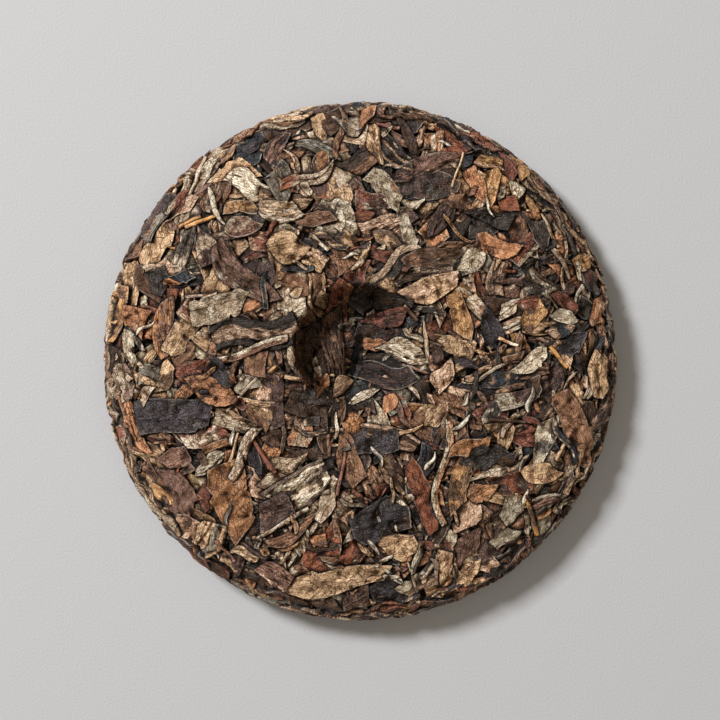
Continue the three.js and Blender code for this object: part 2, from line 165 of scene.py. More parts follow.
# The leaves that stand out on the upper face, in millimetres and degrees, seen from above:
# middle x, middle y, length, width, turn, form, and tone or the two tones of a mottled leaf
LANDMARKS = (
    (-42.5, 82, 8.5, 5.5, 25, "plate", "black_violet"),
    (-58, 77, 14.5, 5, 65, "plate", "cream"),
    (-64, 72, 17, 2, 72, "stalk", "grey_tan"),
    (-70.5, 61, 14.5, 4.6, 65, "plate", "red_brown"),
    (-65.5, 53, 9.6, 1.5, 25, "stalk", "orange"),
    (-60.5, 53.5, 14.5, 1.6, 22, "stalk", "orange"),
    (-81, 51, 14.5, 4.6, 60, "plate", "grey_green"),
    (-59.5, 43.5, 14.5, 11, -75, "wedge", "plum"),
    (-55, 59, 16.5, 2.6, -65, "bud", "sage"),
    (-46, 58, 12.7, 5.8, 5, "plate", "ochre"),
    (-45, 51, 13.5, 8, 10, "plate", "grey_tan"),
    (-31, 58, 15.5, 8.5, -5, "fold", "grey_tan"),
    (-11.5, 64, 19.3, 14, -70, "plate", "plum"),
    (-20.5, 70.5, 22.5, 4.6, 25, "fold", "rust"),
    (-27.5, 43, 14, 12.7, 10, "plate", "tan"),
    (-44, 33.5, 31, 9.6, -45, "fold", "mauve"),
    (-54.5, 19.5, 21, 11.6, 15, "plate", "grey_tan"),
    (-69, 31.5, 10.8, 5.8, 5, "plate", "navy"),
    (-68.5, 10, 17.4, 10.4, 55, "plate", "tan"),
    (-40, 11, 33, 10.8, 8, "fold", "charcoal"),
    (-90.5, 6.5, 10.8, 7.7, 85, "plate", "cream"),
    (-43, 4.5, 32, 3, 15, "fold", "cream"),
    (-36, 26.5, 14, 2.7, 90, "plate", "navy"),
    (-23.5, 34.5, 12, 2.3, 5, "plate", "navy"),
    (-4, 91.5, 11.6, 11.6, -30, "wedge", "navy"),
    (2, 94, 10.4, 7, 75, "wedge", "orange_tan"),
    (24.5, 73.5, 29, 8, 18, "lance", "mauve"),
    (26.5, 65.5, 23, 12, 0, "plate", "charcoal"),
    (44, 67, 13, 7.3, -70, "plate", "orange_tan"),
    (49.5, 54, 17.4, 8, -10, "wedge", "charcoal"),
    (50, 58.5, 8.5, 1.3, -70, "bud", "silver"),
    (53.5, 43.5, 15.5, 8.5, -10, "plate", "orange_tan"),
    (57, 60, 7.5, 7.5, 0, "plate", "rust"),
    (42.5, 39, 10, 10, 30, "plate", "sage"),
    (27.5, 39.5, 23, 8, 12, "lance", "dark_brown"),
    (27.5, 27.5, 21, 13, 20, "plate", "pink_tan"),
    (18, 51, 15.5, 6.5, -75, "plate", "sage"),
    (66.5, 28, 13, 6.5, -20, "plate", "charcoal"),
    (64.5, 22.5, 12.7, 7.3, 5, "plate", "red_brown"),
    (79, 23, 11, 6.5, -30, "plate", "red_brown"),
    (93, 19.5, 10.8, 7.3, 80, "plate", "orange_tan"),
    (87, 38, 8.5, 7.3, 20, "plate", "ochre"),
    (68.5, 50, 12, 12, -45, "wedge", "charcoal"),
    (73.5, 50, 14.7, 1.5, -65, "stalk", "sage"),
    (77, 11, 10, 5.8, 10, "plate", "navy"),
    (78.5, 17, 10, 5.4, -10, "plate", "cream"),
    (76, 1.5, 10.8, 1.5, -50, "stalk", "orange"),
    (64.5, 73.5, 6.2, 5.4, 80, "plate", "ochre"),
    (58.5, 73.5, 7.3, 5.4, 85, "plate", "red_brown"),
    (48, 86, 16.6, 4, -20, "fold", "rust"),
    (70.5, 69.5, 8.5, 4, -55, "fold", "rust"),
    (-91.5, -8, 14.7, 8.9, -80, "plate", "cream"),
    (-71.5, -20, 30, 13.5, 5, "plate", "black_violet"),
    (-56.5, -11, 19, 10, -15, "plate", "orange_tan"),
    (-53.5, -4.5, 13.5, 8, -45, "plate", "black_violet"),
    (-34, -14, 22.4, 16.2, -70, "plate", "plum"),
    (-74.5, -6, 11.6, 6.2, 70, "plate", "tan"),
    (-71.5, -36.5, 12, 9, 20, "plate", "mauve"),
    (-70, -51.5, 22.4, 15.4, -65, "plate", "mauve"),
    (-81.5, -43, 17, 7, -60, "plate", "mauve"),
    (-48.5, -52.5, 28.6, 17.4, -75, "plate", "amber"),
    (-50, -58, 9, 1.5, 80, "bud", "silver"),
    (-44, -35, 22.4, 3.9, 60, "fold", "grey_tan"),
    (-22, -47, 22.4, 13.5, 35, "fold", "cream"),
    (-32, -57, 13.5, 12, 20, "plate", "plum"),
    (-26.5, -63.5, 21.6, 4.6, 30, "fold", "brown"),
    (-29.5, -61.5, 23, 1.5, 30, "stalk", "cream"),
    (-9.5, -82.5, 40.5, 13.5, 5, "plate", "tan"),
    (-16, -67.5, 6.6, 6.2, 0, "plate", "orange_tan"),
    (-44.5, -74, 10.8, 3.5, -20, "fold", "cream"),
    (-59, -67.5, 13.5, 11.6, 60, "fold", "tan"),
    (-33, -82, 13.5, 8.9, -35, "fold", "mauve"),
    (6, -30.5, 17.8, 11.2, 10, "plate", "black_violet"),
    (8, -61, 23, 20, 10, "plate", "black_violet"),
    (23, -52, 27.8, 10, -70, "plate", "rust"),
    (33, -42, 39.8, 2.7, 88, "fold", "sage"),
    (16, -71, 14.7, 11.2, 0, "plate", "tan"),
    (22, -75, 12, 3, 75, "fold", "cream"),
    (32, -78.5, 13, 8.5, 80, "wedge", "tan"),
    (26, -77.5, 12, 3, 60, "fold", "charcoal"),
    (42.5, -79.5, 17.8, 6.6, 70, "plate", "tan"),
    (38.5, -45.5, 22, 10, 80, "plate", "ochre"),
    (41.5, -33, 15.4, 7.3, 10, "plate", "amber"),
    (46.7, -37, 11, 11, 30, "plate", "charcoal"),
    (56, -6, 24.7, 6.6, 12, "plate", "navy"),
    (56, -14.5, 21, 7.3, 15, "plate", "plum"),
    (83.5, -26, 32, 14, -60, "plate", "brown"),
    (70, -33, 22, 12, 80, "wedge", "sage"),
    (79, -30, 21, 2.7, -65, "fold", "navy"),
    (69, -42, 14.7, 8, 0, "plate", "tan"),
    (58.7, -57, 12, 8.5, 65, "plate", "sage"),
    (66.5, -60, 15.8, 1.9, -70, "stalk", "orange"),
    (56, -67.5, 11, 6.5, 30, "plate", "sage"),
    (54, -81.5, 6.5, 5.4, 30, "plate", "charcoal"),
    (93.5, -6, 16.6, 9, 88, "plate", "tan"),
    (38.5, -23, 9, 2, 40, "bud", "silver"),
    (65, -14.5, 10, 2.5, 80, "bud", "silver"),
    (26.5, -37.5, 8, 1.8, 60, "bud", "silver"),
    (11, -16, 7.3, 5.4, 80, "plate", "orange_tan"),
    (31, -6, 11, 8.5, 75, "plate", "pink_tan"),
    # The dimple's leaves have dark tones, partly their own and partly painted shade of its walls: the
    # charcoal leaf at (-15, -15) stands for the shade under the lip at the lower left
    (-20.5, 1, 24, 9, 88, "plate", "dark_brown/amber"),
    (-20, -19, 17, 10, -25, "plate", "dark_brown/brown"),
    (-15, -15, 15, 7, -20, "plate", "charcoal/charcoal"),
    (1.5, 23.5, 12, 10, 20, "plate", "charcoal/dark_brown"),
    (12.7, 22.8, 15, 8, -10, "plate", "charcoal/dark_brown"),
    (-7.3, 21.6, 17, 10, 75, "plate", "rust/amber"),
    (20.5, 14.7, 7, 8, 40, "plate", "navy"),
    (8.5, 15, 18, 8, 12, "plate", "red_brown/plum"),
    (3.5, 8.5, 16, 12, 5, "plate", "plum/black_violet"),
    (5.4, 6.2, 9, 5.5, 5, "plate", "orange_tan/rust"),
    (9, -3.5, 24, 9, -5, "fold", "plum/black_violet"),
    (16.5, 4, 17, 8.5, -12, "fold", "cream/grey_tan"),
    (1.9, -12.5, 16, 10, 30, "plate", "navy/navy"),
    (1.5, -13.5, 12, 3.6, 28, "fold", "cream/grey_tan"),
    (-11.5, 2, 30, 17, 99, "pleat", "brown/dark_brown"),
    (-7, -9.5, 9, 6, 40, "fold", "tan/brown"),
    (-0.8, 1, 15, 5, 78, "plate", "navy/charcoal"),
    (-14.5, -8.5, 8, 6, 60, "plate", "amber/brown"),
    (25, 8, 15.4, 1.8, 95, "bud", "silver"),
)


def smooth_step(low, high, x):
    """0 below low, 1 above high, and 3k^2 - 2k^3 between them."""
    k = np.clip((x - low) / (high - low), 0, 1)
    return k * k * (3 - 2 * k)


def to_linear(hex_colour):
    """An sRGB hex colour as three linear values."""
    parts = [int(hex_colour[i : i + 2], 16) / 255 for i in (1, 3, 5)]
    return tuple(c / 12.92 if c <= 0.04045 else ((c + 0.055) / 1.055) ** 2.4 for c in parts)


# The outline of the cake from the middle of the upper face to the middle of the underside, and how
# far one has walked along it at each of its points
_ANGLE = np.linspace(0, math.pi, 2401)
_ABOVE = _ANGLE <= math.pi / 2
OUTLINE_RADIUS = ROUND_RADIUS * np.abs(np.sin(_ANGLE)) ** np.where(_ABOVE, 2 / DOME_POWER, 2 / UNDER_POWER)
OUTLINE_RADIUS[-1] = 0
OUTLINE_HEIGHT = GIRTH_HEIGHT + np.cos(_ANGLE) * np.where(
    _ABOVE, CAKE_TOP - TIP_GAP - GIRTH_HEIGHT, GIRTH_HEIGHT + FLATTENED
)
WALKED = np.concatenate(([0], np.cumsum(np.hypot(np.diff(OUTLINE_RADIUS), np.diff(OUTLINE_HEIGHT)))))
WHOLE_WALK = WALKED[-1]


def dimple_sink(x, y):
    """How far the dimple sinks the upper face: its depth times 1 - smoothstep of the distance from its
    middle over its reach. The reach and the flat share of it depend on the direction, so that the wall
    is steep all round but for a long slope to the right. A Gaussian fold rises along the left of the
    floor, and a narrower Gaussian crevice runs beside it."""
    off_x, off_y = x - DIMPLE_X, y - DIMPLE_Y
    angle = np.arctan2(off_y, off_x)
    off_round = DIMPLE_OFF_ROUND * np.cos(angle - math.radians(5))
    reach = DIMPLE_REACH + off_round - DIMPLE_OVAL * np.cos(2 * angle - math.radians(150))
    slope = np.maximum(0, np.cos(angle + math.radians(15))) ** 1.5
    share = smooth_step(DIMPLE_FLOOR - SLOPE_SHARE * slope, 1, np.hypot(off_x, off_y) / reach)
    away = np.abs(y - FOLD_Y)
    fold = FOLD_RISE * np.exp(-(((x - FOLD_X) / FOLD_WIDTH) ** 2)) * (1 - smooth_step(6, 14, away))
    from_crevice = x - CREVICE_X - 0.2 * (y - FOLD_Y)
    crevice = CREVICE_DEPTH * np.exp(-((from_crevice / CREVICE_WIDTH) ** 2))
    crevice = crevice * (1 - smooth_step(5, 10, away))
    return DIMPLE_DEPTH * (1 - share) - fold + crevice


def on_cake(side, map_x, map_y, lift):
    """Points of the cake. The map is flat, seen from above or, for the underside, from below: distance
    from its middle is distance walked over the surface. lift moves a point out along the line from the
    spine, which is straight up or down over the flat of the cake and fans out round the rim."""
    walked = np.hypot(map_x, map_y)
    along = walked if side == FACE else WHOLE_WALK - walked
    radius = np.interp(along, WALKED, OUTLINE_RADIUS)
    height = np.interp(along, WALKED, OUTLINE_HEIGHT)
    out, up = radius - np.minimum(radius, SPINE_RADIUS), height - GIRTH_HEIGHT
    far = np.hypot(out, up)
    radius = radius + out / far * lift
    height = height + up / far * lift
    share = radius / np.maximum(walked, 1e-6)
    x = map_x * share * HALF_WIDTH / ROUND_RADIUS
    y = map_y * share * HALF_DEPTH / ROUND_RADIUS
    if side == FACE:
        height = height - dimple_sink(x, y)
    return np.stack((x, y, np.maximum(height, 0)), -1)


def stretch_at(side, map_x, map_y):
    """How much wider the map is than the cake across the walk, which leaves make up for."""
    walked = np.hypot(map_x, map_y)
    along = walked if side == FACE else WHOLE_WALK - walked
    return walked / max(np.interp(along, WALKED, OUTLINE_RADIUS), 1) if walked > 1 else 1


def blurred(values, count, spread):
    """A square map blurred by a Gaussian of this spread in millimetres, through its Fourier transform."""
    waves = np.fft.fftfreq(count)[:, None] ** 2 + np.fft.rfftfreq(count)[None, :] ** 2
    passed = np.exp(-2 * (math.pi * spread / MAP_CELL) ** 2 * waves)
    return np.fft.irfft2(np.fft.rfft2(values.reshape(count, count)) * passed, s=(count, count)).ravel()


class Bed:
    """The height of the leaves laid so far over one side, on a square map of it."""

    def __init__(self, side, reach):
        self.side = side
        self.middle = int(math.ceil((reach + MAP_MARGIN) / MAP_CELL))
        self.count = 2 * self.middle + 1
        self.height = np.zeros(self.count * self.count)
        self.hollow = self.height

    def cells(self, x, y):
        """The cell nearest to each point, as its number in the flat array."""
        column = np.clip(np.rint(x / MAP_CELL).astype(int) + self.middle, 0, self.count - 1)
        row = np.clip(np.rint(y / MAP_CELL).astype(int) + self.middle, 0, self.count - 1)
        return row * self.count + column

    def at(self, x, y, values=None):
        """A map's values, the height's unless another is named, on straight lines between its cells."""
        values = self.height if values is None else values
        across = np.clip(x / MAP_CELL + self.middle, 0, self.count - 1.001)
        down = np.clip(y / MAP_CELL + self.middle, 0, self.count - 1.001)
        column, row = across.astype(int), down.astype(int)
        across, down = across - column, down - row
        cell = row * self.count + column
        near = values[cell] * (1 - across) + values[cell + 1] * across
        far = values[cell + self.count] * (1 - across) + values[cell + self.count + 1] * across
        return near * (1 - down) + far * down

    def raise_to(self, x, y, top):
        """Raises the map to a leaf's grid of heights, filled in between its points."""
        rows, columns = top.shape
        step_along = np.hypot(np.diff(x, axis=0), np.diff(y, axis=0)).max() / (0.8 * MAP_CELL)
        step_across = np.hypot(np.diff(x, axis=1), np.diff(y, axis=1)).max() / (0.8 * MAP_CELL)
        down = between_points(rows, int(math.ceil(step_along)) + 1)
        across = between_points(columns, int(math.ceil(step_across)) + 1).T
        cells = self.cells(down @ x @ across, down @ y @ across)
        np.maximum.at(self.height, cells.ravel(), (down @ top @ across).ravel())

    def mean_over(self, spread):
        """The mean height over this spread, of the laid part of the map only."""
        laid = (self.height > 0).astype(float)
        share = np.maximum(blurred(laid, self.count, spread), 0.05)
        return blurred(self.height, self.count, spread) / share

    def find_hollows(self):
        """Keeps how far each cell lies above the mean round it, or below."""
        self.hollow = self.height - self.mean_over(HOLLOW_OVER)

    def settle(self):
        """Keeps the finished bed's level over a few leaves and over less than one."""
        self.level = self.mean_over(LEVELLED_OVER)
        self.near = self.mean_over(NEAR_OVER)

    def lift(self, x, y, height):
        """How a height lies once pressed: its distance from the level of the bed round it, which
        tanh lets rise no more than the skin's depth and sink no more than the deepest gap."""
        above = height - self.at(x, y, self.level)
        risen = SKIN_DEPTH * np.tanh(above / SKIN_DEPTH)
        sunk = GAP_DEPTH * np.tanh(above / GAP_DEPTH)
        return np.where(above > 0, risen, sunk) - SKIN_DEPTH

    def cover(self, x, y, height):
        """0 where a point shows and 1 where another leaf lies far enough over it to hide it."""
        return smooth_step(SHOWS_BELOW, HIDDEN_BELOW, self.at(x, y) - height)

    def cavity(self, x, y, height):
        """How far a point lies under the mean of what is round it, from -1 on crests to 1 in hollows."""
        return np.clip((self.at(x, y, self.near) - height) / DEEP_CAVITY, -1, 1)


_BETWEEN = {}


def between_points(count, parts):
    """The matrix that fills in parts - 1 points between each two of count points, on straight lines."""
    if (count, parts) not in _BETWEEN:
        fine = np.linspace(0, count - 1, (count - 1) * parts + 1)
        low = np.minimum(fine.astype(int), count - 2)
        matrix = np.zeros((len(fine), count))
        matrix[np.arange(len(fine)), low] = 1 - (fine - low)
        matrix[np.arange(len(fine)), low + 1] = fine - low
        _BETWEEN[count, parts] = matrix
    return _BETWEEN[count, parts]


def eased(heights):
    """Each height blended with its neighbours along and across a leaf."""
    padded = np.pad(heights, 1, mode="edge")
    along = 0.25 * padded[:-2, 1:-1] + 0.5 * padded[1:-1, 1:-1] + 0.25 * padded[2:, 1:-1]
    across = 0.25 * padded[1:-1, :-2] + 0.5 * padded[1:-1, 1:-1] + 0.25 * padded[1:-1, 2:]
    return 0.5 * (along + across)


def nearest_count(wanted, choices):
    """The choice with the least distance from what is wanted."""
    return min(choices, key=lambda choice: abs(choice - wanted))


# All are odd, so that taking every second point keeps both ends, and the middle column
ROW_CHOICES = (5, 7, 9, 13, 17, 21, 29, 37, 49, 65)
COLUMN_CHOICES = (3, 5, 9, 13, 17, 25, 33)
UNDER_COARSENESS = 1.7
BRIDGED = 14  # how many times a leaf is drawn taut, each over one more point of its grid

# What each form of leaf is: how fine its grid is in millimetres, its thickness, how stiffly it
# bridges what it lies on, the height of its buckles, folds and curled edges
FORMS = {
    "plate": dict(step=(0.62, 0.62), thick=0.42, stiff=0.8, buckle=0.12, fold=0.0, curl=0.5),
    "wedge": dict(step=(0.62, 0.62), thick=0.42, stiff=0.8, buckle=0.12, fold=0.0, curl=0.5),
    "lance": dict(step=(0.75, 0.6), thick=0.42, stiff=0.7, buckle=0.12, fold=0.0, curl=0.5),
    "fold": dict(step=(0.9, 0.34), thick=0.4, stiff=0.6, buckle=0.12, fold=0.9, curl=0.1),
    "pleat": dict(step=(0.9, 0.34), thick=0.4, stiff=0.6, buckle=0.1, fold=1.3, curl=0.1),
    "strip": dict(step=(0.9, 0.36), thick=0.4, stiff=0.45, buckle=0.12, fold=0.45, curl=0.0),
    "stalk": dict(step=(1.3, 0.35), thick=0.3, stiff=0.8, buckle=0.04, fold=0.0, curl=0.0),
    "bud": dict(step=(0.6, 0.3), thick=0.3, stiff=0.5, buckle=0.1, fold=0.12, curl=0.0),
    "chip": dict(step=(0.8, 0.8), thick=0.32, stiff=0.3, buckle=0.1, fold=0.0, curl=0.25),
    "crumb": dict(step=(0.8, 0.8), thick=0.4, stiff=0.2, buckle=0.2, fold=0.0, curl=0.0),
}
TORN_SHARE = 0.82  # the share of flat leaves that are torn all round; the others have their own edge
# How far the middle of a rounded leaf stands above its edges, as a share of its width
ROUNDED = {"stalk": 0.42, "bud": 0.36, "strip": 0.16, "fold": 0.05, "crumb": 0.12}


def half_widths(form, rows, draws):
    """The left and right half width of a leaf along its length, as shares of half its width. A torn
    leaf has straight stretches between a few corners and now and then a notch; a leaf with its own edge
    and the others taper by a power of the distance from the middle."""
    s = np.linspace(-1, 1, rows)
    if form in ("chip", "crumb") or (form == "plate" and draws.random() < TORN_SHARE):
        sides = []
        ends = draws.uniform(0.15, 0.95, 2)
        for _ in range(2):
            corners = draws.integers(1, 5)
            at = np.sort(np.concatenate(([-1, 1], draws.uniform(-0.85, 0.85, corners))))
            share = draws.uniform(0.65, 1.05, corners + 2)
            share[0], share[-1] = ends * draws.uniform(0.7, 1.2, 2)
            side = np.interp(s, at, share)
            notch = draws.uniform(0, 0.4) if draws.random() < 0.25 else 0
            side *= 1 - notch * np.exp(-(((s - draws.uniform(-0.7, 0.7)) / 0.09) ** 2))
            sides.append(side)
    elif form == "pleat":
        sides = [0.35 + 0.5 * (0.5 + 0.5 * s) ** draws.uniform(0.7, 1.2) for _ in range(2)]
    elif form == "wedge":
        wide_at = draws.uniform(-0.2, 0.5)
        sides = [np.interp(s, (-1, wide_at, 1), (0.1, 0.75, draws.uniform(0.6, 1.0))) for _ in range(2)]
    elif form == "stalk":
        sides = [1.0 - 0.15 * s * draws.uniform(-1, 1)] * 2
    elif form == "bud":
        sides = [np.clip(1 - np.abs(s) ** 2.5, 0.05, 1) ** 0.6 * (0.85 - 0.25 * s)] * 2
    else:
        power = draws.uniform(1.6, 3.5)
        least = draws.uniform(0.3, 0.9) if form in ("fold", "strip") else draws.uniform(0.1, 0.45)
        taper = least + (1 - least) * (1 - np.abs(s) ** power)
        sides = [taper * (1 + draws.uniform(-0.3, 0.3) * s) for _ in range(2)]
    rough = 0.0 if form in ("stalk", "bud") else 0.025
    return [np.maximum(side * draws.uniform(1 - rough, 1 + rough, rows), 0.06) for side in sides]


def folds_across(t, u, count, twist, draws):
    """Folds along a leaf: at each point the highest of a few ridges with a half-round section. Each
    has its own width and height, and a middle that wanders in a sine wave and, on a twisted leaf,
    crosses from one edge to the other. Also gives each ridge a random number of its own."""
    height = np.zeros(np.broadcast(t, u).shape)
    stripe = height + draws.random()
    middles = (np.arange(count) + 0.5) / count * 2 - 1 + draws.uniform(-0.4, 0.4, count) / count
    for middle in middles:
        wave = np.sin(2 * math.pi * u / draws.uniform(8, 20) + draws.uniform(0, 6))
        path = middle + draws.uniform(0.02, 0.14) * wave + twist * u
        path = (path + 1) % 2 - 1 if twist else path
        wide = draws.uniform(0.85, 1.5) / count
        tall = draws.uniform(0.5, 1.0)
        ripple = np.sin(u / draws.uniform(1.5, 4) + draws.uniform(0, 6))
        here = tall * (0.8 + 0.2 * ripple) * np.sqrt(np.maximum(1 - ((t - path) / wide) ** 2, 0))
        stripe = np.where(here > height, draws.random(), stripe)
        height = np.maximum(height, here)
    return height, stripe


def leaf_shape(form, length, width, draws, coarseness=1.0):
    """A leaf on a flat: its grid of points u along and v across it, its own relief, how near its torn
    edge each point is, how high on a ridge, and which ridge. The relief adds plane waves for buckles,
    |distance| to a few lines for creases, folds, a rib, a rounded back and curled edges."""
    kind = FORMS[form]
    rows = nearest_count(length / kind["step"][0] / coarseness + 1, ROW_CHOICES)
    columns = nearest_count(width / kind["step"][1] / coarseness + 1, COLUMN_CHOICES)
    s = np.linspace(-1, 1, rows)[:, None]
    t = np.linspace(-1, 1, columns)[None, :]
    left, right = half_widths(form, rows, draws)
    flat = form in ("plate", "wedge", "chip", "lance", "crumb")
    slender = form in ("stalk", "bud")
    slant = np.where(s < 0, draws.uniform(-0.6, 0.6), draws.uniform(-0.6, 0.6)) * np.abs(s) ** 1.5
    bow = draws.uniform(-0.12, 0.12) if flat else draws.uniform(-0.24, 0.24)
    sway = draws.uniform(-0.04, 0.04) if flat else draws.uniform(-0.08, 0.08)
    if form in ("stalk", "pleat"):
        bow, sway = 0.2 * bow, 0.2 * sway
    ragged = draws.uniform(-0.2, 0.2, (2, columns)) * (0 if slender else 1)
    u = s * length / 2 + (0 if slender else 1) * slant * t * width / 2
    u = u + np.abs(s) ** 8 * np.where(s < 0, ragged[0], ragged[1])
    v = np.where(t < 0, left[:, None], right[:, None]) * t * width / 2
    v = v + bow * length / 2 * (1 - s**2) + sway * length * np.sin(math.pi * s)
    relief = np.zeros((rows, columns))
    for _ in range(3):
        wave, heading, phase = draws.uniform(2.5, 8), draws.uniform(0, 6.3), draws.uniform(0, 6.3)
        along = u * math.cos(heading) + v * math.sin(heading)
        relief += kind["buckle"] * np.sin(2 * math.pi * along / wave + phase)
    crest = 0.5 + relief / (6 * kind["buckle"])
    relief += draws.uniform(-0.05, 0.05) * u + draws.uniform(-0.05, 0.05) * v
    stripe = np.full((rows, columns), draws.choice((0.0, 0.0, 0.45, 0.55)))
    if flat and form != "crumb":
        for _ in range(draws.integers(1, 4)):
            heading, offset = draws.uniform(0, 6.3), draws.uniform(-0.3, 0.3) * width
            off_line = u * math.cos(heading) + v * math.sin(heading) - offset
            bend = draws.uniform(-0.17, 0.17)
            relief += bend * np.abs(off_line)
            crest = crest - np.sign(bend) * 0.45 * np.exp(-((off_line / 0.45) ** 2))
    if kind["fold"]:
        count = max(2, int(round(width / draws.uniform(1.3, 2.3))))
        twist = draws.uniform(0.15, 0.4) * draws.choice((-1, 1)) if form == "strip" and width > 1.6 else 0
        height, stripe = folds_across(t, u, count, twist, draws)
        relief += kind["fold"] * height
        crest = 0.2 * crest + 0.8 * height
    if form in ROUNDED:
        back = np.sqrt(np.maximum(1 - t**2, 0)) + 0 * s
        relief += back * width * ROUNDED[form] * left[:, None] / left.max()
        crest = np.maximum(crest, 0.3 + 0.6 * back) if slender else crest
    if form == "lance" or (form == "plate" and draws.random() < 0.3):
        rib = np.exp(-(((t - draws.uniform(-0.15, 0.15)) * width / 2 / 0.5) ** 2)) + 0 * s
        relief += 0.25 * rib
        crest = np.maximum(crest, rib)
    curl_left, curl_right, curl_end = draws.uniform(-0.4, 1, 3) * kind["curl"]
    relief += curl_left * np.exp(-(t + 1) * width / 2) + curl_right * np.exp(-(1 - t) * width / 2)
    relief += curl_end * np.exp(-(1 - s) * length / 2 / 1.2)
    inside = np.minimum((1 - np.abs(t)) * width / 2, (1 - np.abs(s)) * length / 2)
    edge = np.exp(-inside / 0.4)
    return SimpleNamespace(
        u=u, v=v, relief=relief, edge=edge, crest=np.clip(crest, 0, 1), stripe=stripe, kind=kind
    )


def lay_leaf(bed, x, y, length, width, turn, form, tone, draws):
    """Lays one leaf on the bed: it takes the height of what is under it, bridges hollows as far as it
    is stiff, and adds its thickness and its own relief, and the bed rises to it."""
    shape = leaf_shape(form, length, width, draws, UNDER_COARSENESS if bed.side == UNDER else 1.0)
    heading = math.atan2(y, x)
    direction = math.radians(turn) - heading
    stretch = stretch_at(bed.side, x, y)
    radial = shape.u * math.cos(direction) - shape.v * math.sin(direction)
    across = (shape.u * math.sin(direction) + shape.v * math.cos(direction)) * stretch
    map_x = x + radial * math.cos(heading) - across * math.sin(heading)
    map_y = y + radial * math.sin(heading) + across * math.cos(heading)
    under = bed.at(map_x, map_y)
    taut = under
    for _ in range(BRIDGED):
        taut = np.maximum(eased(taut), under)
    top = under + shape.kind["stiff"] * (eased(taut) - under) + shape.kind["thick"] + shape.relief
    bed.raise_to(map_x, map_y, top)
    striped = form in ("fold", "strip", "pleat")
    other = pick(PALE_TONES if striped and draws.random() < 0.4 else COMMON_TONES, draws)
    tone, second = tone.split("/") if "/" in tone else (tone, other)
    return SimpleNamespace(
        side=bed.side,
        form=form,
        map_x=map_x,
        map_y=map_y,
        top=top,
        u=shape.u,
        v=shape.v,
        edge=shape.edge,
        crest=shape.crest,
        stripe=shape.stripe,
        tone=tone,
        second=second,
        chance=draws.random(3),
    )


def random_spots(reach, inner, draws, tries):
    """Random places on a ring of the map, spread evenly over its area."""
    walked = np.sqrt(draws.uniform(inner**2, reach**2, tries))
    heading = draws.uniform(0, 2 * math.pi, tries)
    return walked * np.cos(heading), walked * np.sin(heading)


def lowest_spot(bed, reach, inner, length, width, draws, tries=5):
    """Of a few random places on a ring of the map, the one where the leaves so far lie lowest."""
    x, y = random_spots(reach, inner, draws, tries)
    around = 0.3 * max(length, width) * np.array([[0, 0], [1, 0], [-1, 0], [0, 1], [0, -1]])
    mean = bed.at(x[:, None] + around[:, 0], y[:, None] + around[:, 1]).mean(1)
    best = int(np.argmin(mean))
    return x[best], y[best]


def deepest_hollow(bed, reach, inner, draws, tries=24):
    """Of many random places on a ring of the map, the one deepest below what is close round it."""
    x, y = random_spots(reach, inner, draws, tries)
    best = int(np.argmin(bed.at(x, y, bed.hollow)))
    return x[best], y[best]


def pick(weights, draws, paler=0.0):
    """One of the names at random, by weight. Above 0, paler favours the pale tones over the dark."""
    names = list(weights)
    favour = {**dict.fromkeys(PALEST_TONES, 1 + paler), **dict.fromkeys(DARK_TONES, 1 - paler)}
    share = np.array([weights[name] * favour.get(name, 1) for name in names])
    return names[draws.choice(len(names), p=share / share.sum())]


# The leaves laid by rule, in order: how many, form, mean length and width, the ring of the map that
# they lie on and their colours
FACE_LAYERS = (
    (150, "plate", 20, 12, 0, 110, COMMON_TONES),
    (110, "strip", 18, 3.4, 0, 108, COMMON_TONES),
    (90, "fold", 20, 6.5, 0, 110, COMMON_TONES),
    (60, "stalk", 14, 1.3, 0, 104, STALK_TONES),
    (150, "plate", 12, 8, 0, 108, COMMON_TONES),
    (90, "strip", 15, 2.8, 0, 106, COMMON_TONES),
    (190, "plate", 15, 9.5, 0, 108, COMMON_TONES),
    (140, "fold", 17, 6.2, 0, 106, COMMON_TONES),
    (120, "plate", 13.5, 9, 0, 106, COMMON_TONES),
    (20, "stalk", 12, 1.3, 0, 104, STALK_TONES),
    (60, "strip", 17, 2.2, 0, 104, COMMON_TONES),
    (80, "plate", 18, 5, 94, 111, RIM_TONES),
    (150, "strip", 27, 2.3, 96, 112, RIM_TONES),
)
# The small leaves that lie in the hollows between the others
FACE_FILL = (
    (70, "chip", 4.6, 3.2, 0, 106, COMMON_TONES),
    (24, "strip", 8, 1.7, 0, 106, COMMON_TONES),
    (8, "stalk", 8, 1.1, 0, 104, STALK_TONES),
    (15, "bud", 8, 1.7, 0, 100, BUD_TONES),
    (170, "crumb", 2.2, 1.4, 0, 106, COMMON_TONES),
)
UNDER_LAYERS = (
    (170, "plate", 19, 11, 0, 104, COMMON_TONES),
    (90, "fold", 18, 6, 0, 104, COMMON_TONES),
    (180, "plate", 13, 8, 0, 102, COMMON_TONES),
    (80, "strip", 15, 3, 0, 102, COMMON_TONES),
    (40, "stalk", 14, 1.3, 0, 98, STALK_TONES),
)
UNDER_FILL = (
    (160, "chip", 4.6, 3.2, 0, 100, COMMON_TONES),
    (12, "bud", 8, 1.7, 0, 95, BUD_TONES),
    (160, "crumb", 2.3, 1.5, 0, 100, COMMON_TONES),
)
